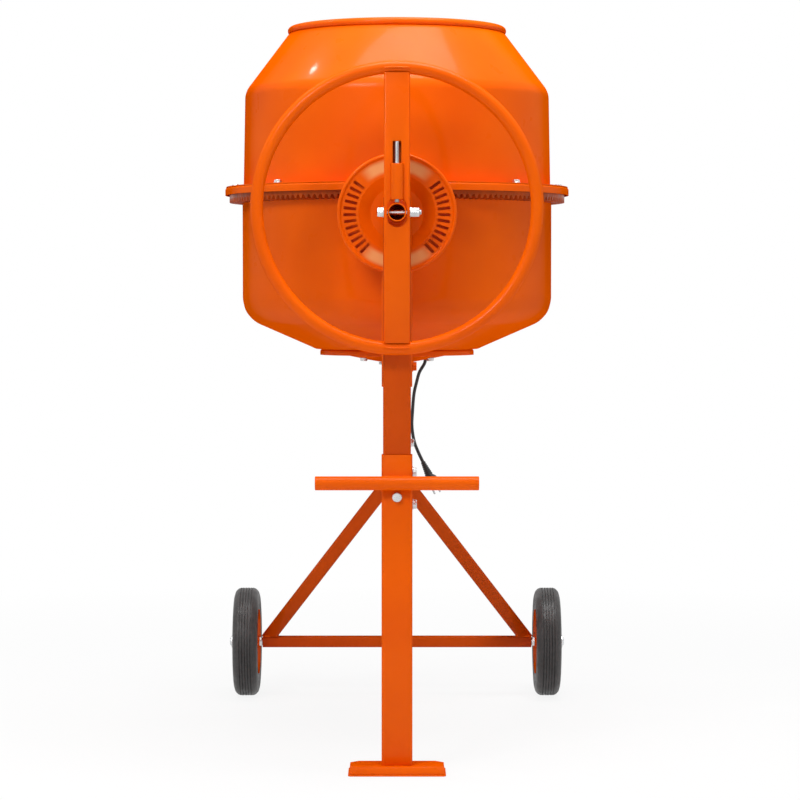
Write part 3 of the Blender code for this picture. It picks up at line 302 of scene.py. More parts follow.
def refine(node, material, edge=0.8, sharp=35):
    """The node's own shape with its edges rounded."""
    source = frame["nodes"][node]
    shape = bmesh.new()
    shape.from_mesh(source.data)
    bmesh.ops.transform(shape, matrix=source.matrix_world, verts=shape.verts)
    bmesh.ops.remove_doubles(shape, verts=shape.verts, dist=1e-5)
    bmesh.ops.dissolve_limit(shape, angle_limit=math.radians(1), verts=shape.verts, edges=shape.edges)
    least = math.radians(28)
    corners = [e for e in shape.edges if len(e.link_faces) == 2 and e.calc_face_angle(0) > least]
    bmesh.ops.bevel(
        shape,
        geom=corners,
        offset=edge * MM,
        offset_type="OFFSET",
        segments=2,
        profile=0.5,
        affect="EDGES",
        clamp_overlap=True,
    )
    bmesh.ops.scale(shape, verts=shape.verts, vec=(1 / MM,) * 3)
    return add_piece(node + "_finished", shape, material, BODY_OF[node], [node], sharp)


def weld(name, path, radius, material, body):
    """A bead whose ripples are those of a hand-run weld."""
    points = []
    for one, two in zip(path, path[1:]):
        steps = max(2, round((two - one).length / 1.2))
        for step in range(steps):
            points.append(one.lerp(two, step / steps))
    points.append(path[-1])
    radii = []
    for index, point in enumerate(points):
        swell = 0.16 * math.sin(index * math.tau / 3.1) + 0.12 * noise.noise(point / 6)
        is_end = index in (0, len(points) - 1)
        radii.append(radius * (1 + swell) * (0.55 if is_end else 1))
    return add_piece(name, swept(points, radii, 8), material, body, sharp=180)


def hexagon(flats):
    """A hexagon with as many points as a bolt's round outlines."""
    points = []
    for step in range(BOLT_SIDES):
        angle = math.tau * step / BOLT_SIDES
        from_flat = (angle % (math.pi / 3)) - math.pi / 6
        reach = flats / 2 / math.cos(from_flat)
        points.append((reach * math.cos(angle), reach * math.sin(angle)))
    return points


def bolt_head(name, axis, seat, way, centre, material, body, flats=17.0, height=6.5, washer=21.0):
    """A hexagon head with a chamfered crown on its washer; seat is the level that the washer lies on."""
    top = seat + way * (2 + height)
    flat = hexagon(flats)
    crown = [(a * 0.86, u * 0.86) for a, u in circle(flats / 2, BOLT_SIDES)]
    stations = [
        (crown, top),
        (circle(flats / 2 * 0.985, BOLT_SIDES), top - way * 0.35),
        (flat, top - way * 1.5),
        (flat, seat + way * 2.1),
        (circle(washer / 2 - 0.5, BOLT_SIDES), seat + way * 2.0),
        (circle(washer / 2, BOLT_SIDES), seat + way * 1.5),
        (circle(washer / 2, BOLT_SIDES), seat + way * 0.4),
        (circle(washer / 2 - 0.4, BOLT_SIDES), seat + way * 0.1),
    ]
    shape = stacked(stations, axis, centre)
    return add_piece(name, shape, material, body, sharp=25)


def nut(name, axis, seat, way, centre, material, body, height=10.0):
    """A nut on its washer, with the bolt's threaded end standing out of it."""
    washer = circle(10.5, BOLT_SIDES)
    crest = circle(5.0, BOLT_SIDES)
    root = circle(4.4, BOLT_SIDES)
    flat = hexagon(17.0)
    stations = [
        (washer, seat + way * 0.1),
        (washer, seat + way * 1.9),
        (flat, seat + way * 2.1),
        (flat, seat + way * (height - 1.0)),
        (circle(8.2, BOLT_SIDES), seat + way * height),
        (circle(5.2, BOLT_SIDES), seat + way * (height + 0.1)),
    ]
    for turn in range(3):
        level = seat + way * (height + 0.2 + 1.2 * turn)
        stations += [(crest, level), (root, level + way * 0.6)]
    stations.append((circle(3.8, BOLT_SIDES), seat + way * (height + 4.0)))
    shape = stacked(stations, axis, centre)
    return add_piece(name, shape, material, body, sharp=25)


# Materials


def new_material(name, colour, roughness, metallic=0.0):
    material = bpy.data.materials.new(name)
    material.use_nodes = True
    shader = material.node_tree.nodes["Principled BSDF"]
    shader.inputs["Base Color"].default_value = (*colour, 1)
    shader.inputs["Roughness"].default_value = roughness
    shader.inputs["Metallic"].default_value = metallic
    return material, material.node_tree, shader


def add_noise(tree, scale, detail):
    """Noise in the object's own space, with its scale in cells to the metre."""
    place = tree.nodes.new("ShaderNodeTexCoord")
    texture = tree.nodes.new("ShaderNodeTexNoise")
    texture.inputs["Scale"].default_value = scale
    texture.inputs["Detail"].default_value = detail
    tree.links.new(place.outputs["Object"], texture.inputs["Vector"])
    return texture.outputs["Fac"]


def stretch(tree, source, start, end, low, high):
    """The source's values from start to end, stretched to run from low to high."""
    node = tree.nodes.new("ShaderNodeMapRange")
    node.inputs["From Min"].default_value = start
    node.inputs["From Max"].default_value = end
    node.inputs["To Min"].default_value = low
    node.inputs["To Max"].default_value = high
    tree.links.new(source, node.inputs["Value"])
    return node.outputs["Result"]


def spread(tree, scale, detail, low, high):
    """Noise whose middle values run from low to high."""
    return stretch(tree, add_noise(tree, scale, detail), 0.3, 0.7, low, high)


def ramp(tree, source, start, end):
    """0 at the start and 1 at the end, with a soft step between them; the start may be the greater."""
    node = tree.nodes.new("ShaderNodeMapRange")
    node.interpolation_type = "SMOOTHSTEP"
    node.inputs["From Min"].default_value = start
    node.inputs["From Max"].default_value = end
    tree.links.new(source, node.inputs["Value"])
    return node.outputs["Result"]


def mix(tree, share, one, two):
    """From colour one to colour two, each of them a tuple or another node's output."""
    node = tree.nodes.new("ShaderNodeMix")
    node.data_type = "RGBA"
    tree.links.new(share, node.inputs["Factor"])
    for socket, value in ((node.inputs["A"], one), (node.inputs["B"], two)):
        if isinstance(value, tuple):
            socket.default_value = (*value, 1)
        else:
            tree.links.new(value, socket)
    return node.outputs["Result"]


def calculate(tree, operation, one, two=0.0):
    """One operation on two values, each of them a float or another node's output."""
    node = tree.nodes.new("ShaderNodeMath")
    node.operation = operation
    for socket, value in ((node.inputs[0], one), (node.inputs[1], two)):
        if isinstance(value, float):
            socket.default_value = value
        else:
            tree.links.new(value, socket)
    return node.outputs["Value"]


def bump(tree, shader, scale, detail, height):
    """Noise that raises the surface by up to a height in millimetres."""
    node = tree.nodes.new("ShaderNodeBump")
    node.inputs["Distance"].default_value = height * MM
    node.inputs["Strength"].default_value = 1.0
    tree.links.new(add_noise(tree, scale, detail), node.inputs["Height"])
    tree.links.new(node.outputs["Normal"], shader.inputs["Normal"])


def orange_paint(name, colour, deep):
    """Glossy coating over pressed steel, with a faint orange-peel and an uneven depth of colour."""
    material, tree, shader = new_material(name, colour, 0.3)
    shade = mix(tree, spread(tree, 5, 3, 0.0, 1.0), deep, colour)
    tree.links.new(shade, shader.inputs["Base Color"])
    tree.links.new(spread(tree, 22, 4, 0.26, 0.38), shader.inputs["Roughness"])
    turned_away = tree.nodes.new("ShaderNodeLayerWeight").outputs["Facing"]
    gloss = ramp(tree, turned_away, 0.75, 0.30)
    tree.links.new(calculate(tree, "MULTIPLY", gloss, 0.05), shader.inputs["Specular IOR Level"])
    tree.links.new(calculate(tree, "MULTIPLY", gloss, 0.08), shader.inputs["Coat Weight"])
    shader.inputs["Coat Roughness"].default_value = 0.10
    bump(tree, shader, 260, 2, 0.015)
    return material


def paint_with_painted_sheen(name, colour, deep, pale):
    """The same coating with a painted highlight: a pale sheen in the slots' band where it has none,
    above and below the hub.
    """
    material = orange_paint(name, colour, deep)
    tree = material.node_tree
    shader = tree.nodes["Principled BSDF"]
    place = tree.nodes.new("ShaderNodeTexCoord")
    parts = tree.nodes.new("ShaderNodeSeparateXYZ")
    tree.links.new(place.outputs["Object"], parts.inputs["Vector"])
    height = calculate(tree, "SUBTRACT", parts.outputs["Z"], PIVOT_Z / 1000)
    rise = calculate(tree, "ABSOLUTE", height)
    across = calculate(tree, "ABSOLUTE", parts.outputs["X"])
    squares = [calculate(tree, "POWER", side, 2.0) for side in (across, rise)]
    radius = calculate(tree, "SQRT", calculate(tree, "ADD", *squares))
    # Painted highlight: the pale sheen lies where the band is near the vertical through the hub
    upright = ramp(tree, calculate(tree, "DIVIDE", rise, radius), 0.70, 0.88)
    outside = ramp(tree, radius, 0.078, 0.088)
    inside = ramp(tree, radius, 0.110, 0.100)
    band = calculate(tree, "MULTIPLY", outside, inside)
    painted_sheen = calculate(tree, "MULTIPLY", calculate(tree, "MULTIPLY", upright, band), 0.75)
    paint = shader.inputs["Base Color"].links[0].from_socket
    tree.links.new(mix(tree, painted_sheen, paint, pale), shader.inputs["Base Color"])
    return material


def bare_metal(name, colour, roughness, spangle=60):
    """Metal with patches of two shades, which are the spangle of a zinc coat or the marks of a tool."""
    material, tree, shader = new_material(name, colour, roughness, 1.0)
    dark = tuple(0.72 * part for part in colour)
    shade = mix(tree, spread(tree, spangle, 5, 0.0, 1.0), dark, colour)
    tree.links.new(shade, shader.inputs["Base Color"])
    smoothest = max(roughness - 0.1, 0.05)
    tree.links.new(spread(tree, 240, 3, smoothest, roughness + 0.12), shader.inputs["Roughness"])
    bump(tree, shader, 900, 2, 0.03)
    return material


def cast_iron(name):
    """Painted rough casting, darkened by patches of grease, with its paint darker than the drum's as
    painted shade under the flange.
    """
    # Painted shade: this orange is darker than the drum's, standing for the shade under its flange
    painted = (0.48, 0.07, 0.003)
    greased = (0.14, 0.03, 0.01)
    material, tree, shader = new_material(name, painted, 0.45)
    shade = mix(tree, spread(tree, 35, 5, 0.0, 0.55), painted, greased)
    tree.links.new(shade, shader.inputs["Base Color"])
    tree.links.new(spread(tree, 60, 3, 0.30, 0.55), shader.inputs["Roughness"])
    shader.inputs["Specular IOR Level"].default_value = 0.15
    bump(tree, shader, 420, 4, 0.12)
    return material


def dull(name, colour, roughness, grain=600, depth=0.06, dust=0.0):
    """Rubber and moulded plastic: uneven in shade, with a fine grain and perhaps specks of dust."""
    material, tree, shader = new_material(name, colour, roughness)
    pale = tuple(min(1.0, part * 1.9 + 0.01) for part in colour)
    base = mix(tree, spread(tree, 14, 5, 0.0, 0.8), colour, pale)
    if dust:
        base = mix(tree, spread(tree, 150, 6, 0.0, dust), base, (0.16, 0.14, 0.12))
    tree.links.new(base, shader.inputs["Base Color"])
    tree.links.new(spread(tree, 45, 3, roughness - 0.1, roughness + 0.1), shader.inputs["Roughness"])
    bump(tree, shader, grain, 3, depth)
    return material


ORANGE = (0.86, 0.120, 0.0006)
ORANGE_DEEP = (0.78, 0.094, 0.0004)
PAINT = orange_paint("orange_paint", ORANGE, ORANGE_DEEP)
# The index disc's paint, with a painted highlight above and below its hub
PAINT_WITH_SHEEN = paint_with_painted_sheen("orange_paint_painted_sheen", ORANGE, ORANGE_DEEP, (0.90, 0.46, 0.17))
# A darker copy of the orange paint, as painted shade on the uprights, the axle beam and the struts
PAINT_SHADED = orange_paint("orange_paint_painted_shade", (0.64, 0.078, 0.0006), (0.57, 0.064, 0.0004))
ZINC = bare_metal("zinc", (0.74, 0.75, 0.76), 0.28)
STEEL = bare_metal("machined_steel", (0.46, 0.46, 0.47), 0.34, 40)
GEAR = cast_iron("gear_iron")
CASING = dull("motor_casing", (0.09, 0.10, 0.11), 0.45, 500)
TYRE = dull("tyre_rubber", (0.014, 0.013, 0.014), 0.50, 700, 0.12, 0.18)
BELT = dull("belt_rubber", (0.012, 0.012, 0.012), 0.7)
SHEATH = dull("cord_sheath", (0.014, 0.014, 0.015), 0.48)
BLACK = dull("black_plastic", (0.016, 0.016, 0.017), 0.42, 900, 0.05)
GREEN = dull("green_plastic", (0.015, 0.24, 0.05), 0.35, 700, 0.02)
RED = dull("red_plastic", (0.50, 0.012, 0.01), 0.35, 700, 0.02)


# Camera, light and stage

CAMERA_PLACE = (0.0, -5.32, 0.928)
CAMERA_DOWN = math.radians(2.155)
CAMERA_ASIDE = math.radians(-0.063)
CAMERA_LENS = 123.4
FILL = 0.2  # the background's light on the mixer, where 1 is the white that the camera sees
FLOOR_Z = -0.0005
FLOOR_NEAR = 0.88  # how far the floor under the mixer shows as the background does


def camera():
    """At the height and distance from which the whole mixer is seen along its tilt axis."""
    data = bpy.data.cameras.new("camera")
    data.sensor_width = 36.0
    data.lens = CAMERA_LENS
    data.clip_end = 100
    eye = bpy.data.objects.new("camera", data)
    eye.location = CAMERA_PLACE
    eye.rotation_euler = (math.radians(90) - CAMERA_DOWN, 0.0, CAMERA_ASIDE)
    bpy.context.scene.collection.objects.link(eye)
    bpy.context.scene.camera = eye


def area_lamp(name, place, aim, size, power, mirrored=True):
    """A rectangular lamp in metres and watts; mirrored says whether glossy surfaces show it."""
    data = bpy.data.lights.new(name, "AREA")
    data.shape = "RECTANGLE"
    data.size, data.size_y = size
    data.energy = power
    lamp = bpy.data.objects.new(name, data)
    lamp.location = place
    lamp.rotation_euler = (Vector(aim) - Vector(place)).to_track_quat("-Z", "Y").to_euler()
    lamp.visible_glossy = mirrored
    bpy.context.scene.collection.objects.link(lamp)


def seen_directly(tree):
    """1 for the camera and for what gloss and glass show of the background, else 0."""
    path = tree.nodes.new("ShaderNodeLightPath")
    total = path.outputs["Is Camera Ray"]
    for name in ("Is Glossy Ray", "Is Transmission Ray"):
        total = calculate(tree, "MAXIMUM", total, path.outputs[name])
    return total


def world():
    surroundings = bpy.data.worlds.new("studio")
    bpy.context.scene.world = surroundings
    surroundings.use_nodes = True
    tree = surroundings.node_tree
    background = tree.nodes["Background"]
    strength = stretch(tree, seen_directly(tree), 0.0, 1.0, FILL, 1.0)
    tree.links.new(strength, background.inputs["Strength"])
    background.inputs["Color"].default_value = (1, 1, 1, 1)


def floor_white():
    """White that takes the mixer's shadow, and fades into the background away from it."""
    material, tree, shader = new_material("floor_white", (0.86, 0.86, 0.86), 0.6)
    shader.inputs["Specular IOR Level"].default_value = 0.1
    place = tree.nodes.new("ShaderNodeNewGeometry")
    distance = tree.nodes.new("ShaderNodeVectorMath")
    distance.operation = "DISTANCE"
    distance.inputs[1].default_value = (0, 0.5, 0)
    tree.links.new(place.outputs["Position"], distance.inputs[0])
    fade = stretch(tree, distance.outputs["Value"], 0.8, 3.0, FLOOR_NEAR, 1.0)
    glow = tree.nodes.new("ShaderNodeEmission")
    blend = tree.nodes.new("ShaderNodeMixShader")
    tree.links.new(calculate(tree, "MULTIPLY", seen_directly(tree), fade), blend.inputs["Fac"])
    tree.links.new(shader.outputs["BSDF"], blend.inputs[1])
    tree.links.new(glow.outputs["Emission"], blend.inputs[2])
    tree.links.new(blend.outputs["Shader"], tree.nodes["Material Output"].inputs["Surface"])
    return material


def floor():
    shape = bmesh.new()
    corners = ((-20, -20), (20, -20), (20, 30), (-20, 30))
    shape.faces.new([shape.verts.new((x, y, FLOOR_Z)) for x, y in corners])
    mesh = bpy.data.meshes.new("floor")
    shape.to_mesh(mesh)
    shape.free()
    mesh.materials.append(floor_white())
    ground = bpy.data.objects.new("floor", mesh)
    bpy.context.scene.collection.objects.link(ground)


def studio():
    camera()
    world()
    floor()
    area_lamp("key", (-1.6, -2.8, 3.1), (0, 0.4, 1.1), (1.3, 1.0), 72)
    area_lamp("top", (0.3, -0.1, 3.7), (0, 0.45, 1.3), (2.0, 1.6), 108)
    area_lamp("side", (3.4, -1.8, 1.2), (0, 0.4, 0.9), (0.6, 1.6), 22, mirrored=False)
    area_lamp("glint", (-1.55, 0.8, 3.4), (-0.16, 0.2, 1.42), (0.1, 0.1), 9)
    bpy.context.scene.view_settings.view_transform = "Standard"


# Cord and plug

CORD_RADIUS = 3.75
CORD_Y = 975.0
CORD_TO_PLUG = 0.3  # the gap between the cord's end and the plug's relief
PLUG_SIDES = 48
PIN_OFFSET = 9.5
CORD_ROUTE = (
    (64, 795.1),
    (64, 777.4),
    (51.5, 755),
    (45.2, 733),
    (39, 705),
    (35.6, 664),
    (34.4, 630),
    (39.6, 596),
    (48.6, 572),
    (59.2, 549.3),
)


def smooth_route(points, steps=8):
    """A Catmull-Rom curve through the route."""
    ends = [2 * points[0] - points[1], *points, 2 * points[-1] - points[-2]]
    fine = []
    for index in range(1, len(ends) - 2):
        before, here, after, beyond = ends[index - 1 : index + 3]
        for step in range(steps):
            t = step / steps
            bend = 2 * before - 5 * here + 4 * after - beyond
            twist = 3 * here - before - 3 * after + beyond
            fine.append((2 * here + (after - before) * t + bend * t**2 + twist * t**3) / 2)
    fine.append(points[-1])
    return fine


def cord_and_plug():
    route = smooth_route([Vector((x, CORD_Y, z)) for x, z in CORD_ROUTE])
    shape = swept(route, [CORD_RADIUS] * len(route), 20)
    flex = add_piece("cord_finished", shape, SHEATH, "stand", ["cord"], sharp=50)
    way = (route[-1] - route[-2]).normalized()
    start = route[-1] + way * CORD_TO_PLUG
    plug = moulded_plug(start, way)
    pins = plug_pins(start, way)


def sideways(way):
    """Two directions square to the way and to each other."""
    side = way.cross(Vector((0, 1, 0))).normalized()
    return side, way.cross(side).normalized()


def moulded_plug(start, way):
    """Ribbed relief, collar, gripped body and a slightly domed face."""
    side, up = sideways(way)
    stations = [(0.0, 4.4), (0.8, 5.0)]
    for rib in range(7):
        reach = 2 + 4.6 * rib
        groove = 4.6 + 0.62 * rib
        stations += [(reach, 5.3 + 0.62 * rib), (reach + 2.7, 5.6 + 0.62 * rib)]
        stations += [(reach + 3.0, groove), (reach + 4.2, groove)]
    stations += [(36, 9.8), (39.5, 12.8), (42, 14.2), (45, 14.9), (48, 14.3)]
    stations += [(53, 14.5), (58, 14.9), (60.6, 14.4), (61.9, 13.2)]
    loops = []
    for reach, radius in stations:
        centre = start + way * reach
        loop = []
        for step in range(PLUG_SIDES):
            angle = math.tau * step / PLUG_SIDES
            grip = 0.4 * math.cos(12 * angle) if 46 < reach < 57 else 0
            out = radius + grip
            loop.append(tuple(centre + side * out * math.cos(angle) + up * out * math.sin(angle)))
        loops.append(loop)
    return add_piece("plug_body", loft(loops), BLACK, "stand", ["plug"], sharp=40)


def plug_pins(start, way):
    side, up = sideways(way)
    pins = []
    for name, sign in (("plug_pin_near", -1), ("plug_pin_far", 1)):
        root = start + (side + up).normalized() * sign * PIN_OFFSET
        stations = ((56, 2.4), (77.5, 2.4), (79.2, 2.0), (79.9, 1.1))
        path = [root + way * reach for reach, _ in stations]
        shape = swept(path, [radius for _, radius in stations], 20)
        pins.append(add_piece(name, shape, ZINC, "stand"))
    return pins


# Drum

FLANGE_TOP = 1156.4
SHELL_JOINT = 1151.3
LOWER_RADIUS = 323.0
UPPER_RADIUS = 320.5
BLADE_WIDTH = 66
BLADE_FOOT = 945
BLADE_RISE = 355
BLADE_SWEEP = math.radians(52)


def rounded_ring(points, radius, steps=4):
    """A closed path with its corners rounded."""
    return rounded([points[-1], *points, points[0]], radius, steps)[1:-1]


def turned_round_drum(profile, sides=FINE):
    return turned(profile, sides, "Z", (0, DRUM_Y))


def lower_shell():
    """Skirt over the ring gear, wall and cone, then the flat that the bottom plate lies under."""
    skirt = [(356.6, 1139), (356.6, SHELL_JOINT), (LOWER_RADIUS, SHELL_JOINT), (LOWER_RADIUS, 1140)]
    wall = [(LOWER_RADIUS, 1140), (LOWER_RADIUS, 922), (317, 897), (298, 875.5)]
    wall += [(178, 823), (170, 819), (40.3, 819)]
    outside = rounded(skirt, 1.2)[:-1] + rounded(wall, 60, 5)[1:]
    inside = offset_path(outside, -2.3)
    shape = turned_round_drum(outside + inside[::-1])
    add_piece("lower_shell_finished", shape, PAINT, "drum", ["drum_lower_shell"], sharp=40)


def upper_shell():
    """Flange, wall and cone up to a rolled lip, which lies on the cone along a seam."""
    flange = [(357, FLANGE_TOP), (UPPER_RADIUS, FLANGE_TOP), (UPPER_RADIUS, 1170)]
    wall = [(UPPER_RADIUS, 1170), (317, 1347), (312, 1360.5), (226.9, 1473.3)]
    outside = rounded(flange, 2.5)[:-1] + rounded(wall, 40, 6)[1:]
    seam = [(223.4, 1475.6)]
    roll = arc((219.5, 1481.5), 8.5, -34, 245, 24)
    inside = offset_path(outside, 2.2)
    shape = turned_round_drum(outside + seam + roll + inside[::-1])
    add_piece("upper_shell_finished", shape, PAINT, "drum", ["drum_upper_shell"], sharp=40)


def drum_bottom():
    outside = rounded([(40.3, 818.7), (161, 818.7), (161, 807)], 5)
    shape = turned_round_drum(outside + offset_path(outside, -3)[::-1])
    add_piece("bottom_plate_finished", shape, PAINT, "drum", ["drum_bottom_plate"])
    hub = [(26.3, 792), (35.3, 792), (58, 796), (100, 804.4)]
    hub += [(100, 815.4), (40, 815.4), (40, 875), (26.3, 875)]
    shape = turned_round_drum(rounded_ring(hub, 2), 96)
    add_piece("hub_finished", shape, PAINT, "drum", ["drum_hub"])


def drum_bolts(label, count, turn, radius, seat, way, washer):
    """A ring of M8 bolts round the drum's axis, the first of them turned by a share of their pitch."""
    for step in range(count):
        angle = math.tau * (step + turn) / count
        place = (radius * math.cos(angle), DRUM_Y + radius * math.sin(angle))
        name = f"{label}_{step + 1}"
        bolt_head(name, "Z", seat, way, place, ZINC, "drum", flats=13, height=5, washer=washer)


def blade(name, start):
    """A flat bar on edge that climbs the wall, welded to it along both its sides."""
    steps = 40
    section = rounded_rectangle(BLADE_WIDTH, 5, 1.6, 3)
    loops = []
    beads = ([], [])
    for step in range(steps + 1):
        share = step / steps
        level = BLADE_FOOT + BLADE_RISE * share
        angle = start + BLADE_SWEEP * share
        wall = 318.2 - 0.0179 * max(level - 1151, 0)
        out = Vector((math.cos(angle), math.sin(angle), 0))
        side = Vector((-out.y, out.x, 0))
        axis = Vector((0, DRUM_Y, level))
        middle = axis + out * (wall - BLADE_WIDTH / 2)
        loops.append([tuple(middle + out * a + side * u) for a, u in section])
        for bead, way in zip(beads, (-1, 1)):
            bead.append(axis + out * (wall - 1.2) + side * 3.6 * way)
    add_piece(name + "_finished", loft(loops), PAINT, "drum", [name], sharp=50)
    for bead, label in zip(beads, ("near", "far")):
        weld(f"{name}_weld_{label}", bead[2:-2], 2.4, PAINT, "drum")


# Hand wheel, latch and index disc

RIM_TUBE_RADIUS = 12.5
SPOKE = (50, 25)
SPOKE_HALF = 259
SPOKE_FRONT_Y = WHEEL_PLANE_Y - SPOKE[1] / 2
OVAL_RADIUS = 19.25
OVAL_RISE = 9.75
SLOT_RADIUS = 92
FIRST_SLOT_TILT = 53.4  # degrees from the top
SLOT_PITCH = 7.6  # degrees
SLOTS_A_SIDE = 12
HINGE = (WHEEL_PLANE_Y, PIVOT_Z)
PIVOT_AXIS = (0, PIVOT_Z)


def hand_wheel():
    section = circle(RIM_TUBE_RADIUS, 28, (HAND_WHEEL_RADIUS, WHEEL_PLANE_Y))
    rim = turned(section, FINE, "Y", (0, HAND_WHEEL_Z))
    add_piece("hand_wheel_rim_finished", rim, PAINT, "hand_wheel", ["hand_wheel_rim"], sharp=60)
    spoke()
    for end, way in (("top", 1), ("bottom", -1)):
        for face, level in (("front", -63.2), ("rear", -36.8)):
            path = []
            for x in range(-24, 25, 4):
                reach = math.sqrt(HAND_WHEEL_RADIUS**2 - x**2) - 1.0
                path.append(Vector((x, level, HAND_WHEEL_Z + way * reach)))
            weld(f"spoke_weld_{end}_{face}", path, 2.0, PAINT, "hand_wheel")
    bolt_head("hinge_bolt_head", "X", -25, -1, HINGE, ZINC, "hand_wheel", height=11.0)
    nut("hinge_bolt_nut", "X", 25, 1, HINGE, ZINC, "hand_wheel", height=18.0)


def spoke():
    """A tube with an oval hole for the pivot, and the latch guide's opening and window in its front."""
    outline = rounded_rectangle(*SPOKE, 3.5, 5)
    bore = rounded_rectangle(45, 20, 1.5, 5)
    ends = (HAND_WHEEL_Z - SPOKE_HALF, HAND_WHEEL_Z + SPOKE_HALF)
    shape = tube(outline, bore, "Z", *ends, (0, WHEEL_PLANE_Y))
    oval = arc((0, OVAL_RISE), OVAL_RADIUS, 0, 180, 24)
    oval += arc((0, -OVAL_RISE), OVAL_RADIUS, 180, 360, 24)
    front = (-80, SPOKE_FRONT_Y + 2.6)
    cuts = [
        prism(oval, "Y", -80, -20, PIVOT_AXIS),
        prism(rounded_rectangle(24.6, 93.3, 1.0), "Y", *front, (0, PIVOT_Z + 46.65)),
        prism(rounded_rectangle(16.7, 136, 2.5), "Y", *front, (0, PIVOT_Z + 68)),
    ]
    add_piece("spoke_finished", shape, PAINT, "hand_wheel", ["hand_wheel_spoke"], cuts=cuts)


def latch():
    place = (0, GUIDE_Y)
    guide = [(8.5, 1114), (12, 1114), (12, 1183), (4.3, 1183), (4.3, 1179), (8.5, 1179)]
    shape = turned(rounded_ring(guide, 1.4), 64, "Z", place)
    add_piece("latch_guide_finished", shape, PAINT, "hand_wheel", ["latch_guide"])
    rod = [(4, 1108.3), (4, 1120), (8.2, 1120), (8.2, 1124), (4, 1124), (4, 1225)]
    low, high = (0, 1108.3), (0, 1225)
    shape = turned([low, *rounded([low, *rod, high], 0.9)[1:-1], high], 40, "Z", place)
    add_piece("plunger_finished", shape, STEEL, "latch_plunger", ["latch_plunger"])


def index_disc():
    """Hub, dish and slotted face with a rolled rim, and a channel that closes the slots from behind."""
    profile = [(23.3, 33), (52, 33), (75, 21), (108.6, 21), (111.2, 17.8), (114.6, 17.4), (117, 20)]
    profile += [(117, 33), (114, 33), (114, 24), (76, 24), (53, 36), (23.3, 36)]
    shape = turned(rounded_ring(profile, 4, 5), FINE, "Y", PIVOT_AXIS)
    tilts = [0]
    for side in (1, -1):
        tilts += [side * (FIRST_SLOT_TILT + SLOT_PITCH * step) for step in range(SLOTS_A_SIDE)]
    cuts = []
    for tilt in tilts:
        slot = prism(rounded_rectangle(6, 24, 1.2, 3), "Y", 15, 30, (0, SLOT_RADIUS))
        turn = Matrix.Rotation(math.radians(tilt), 4, "Y")
        lift = Matrix.Translation((0, 0, PIVOT_Z))
        bmesh.ops.transform(slot, matrix=lift @ turn, verts=slot.verts)
        cuts.append(slot)
    # Its paint carries a painted highlight above and below the hub
    add_piece("index_disc_finished", shape, PAINT_WITH_SHEEN, "stand", ["index_disc"], cuts=cuts)
    channel = [(78, 24.1), (78, 34), (106, 34), (106, 24.1)]
    channel += [(104.8, 24.1), (104.8, 32.8), (79.2, 32.8), (79.2, 24.1)]
    add_piece("index_disc_channel", turned(channel, FINE, "Y", PIVOT_AXIS), PAINT, "stand")


def pivots():
    outline = circle(18, 64)
    bore = circle(15.5, 64)
    hole = prism(circle(5.3, 24), "X", -60, 60, HINGE)
    shape = tube(outline, bore, "Y", -74, 39.7, PIVOT_AXIS)
    add_piece("front_pivot_finished", shape, PAINT, "yoke", ["front_pivot_tube"], cuts=[hole])
    shank = prism(circle(5, 24), "X", -25, 25, HINGE)
    add_piece("hinge_bolt_shank", shank, ZINC, "yoke", ["hand_wheel_bolt"])
    shape = tube(outline, bore, "Y", 834.3, 886, PIVOT_AXIS)
    add_piece("rear_pivot_finished", shape, PAINT, "yoke", ["rear_pivot_tube"])
    for name, start, end in (("front_bearing_housing", -22, 36), ("rear_bearing_housing", 842, 884)):
        shape = tube(circle(23, 80), circle(18.3, 80), "Y", start, end, PIVOT_AXIS)
        add_piece(name + "_finished", shape, PAINT, "stand", [name])
    for name, y in (("front", 55), ("rear", 819)):
        bolt_head(f"yoke_{name}_bolt", "X", 30, 1, (y, 792), PAINT, "yoke")
    around = circle(24.2, 48)
    for name, level in (("front", -17.6), ("back", 17.6)):
        path = [Vector((x, level * 1.02, PIVOT_Z + z)) for x, z in around + around[:1]]
        weld(f"housing_weld_{name}", path, 2.2, PAINT, "stand")


# Stand

HANDLE = (-33.8, 568)
UPRIGHT_ENDS = (490, 1120)


def box(size, wall, axis, start, end, centre, corner=4.5):
    """A rectangular tube, with the size and wall of its section."""
    outline = rounded_rectangle(*size, corner, 5)
    bore = rounded_rectangle(size[0] - 2 * wall, size[1] - 2 * wall, corner - wall * 0.7, 5)
    return tube(outline, bore, axis, start, end, centre)


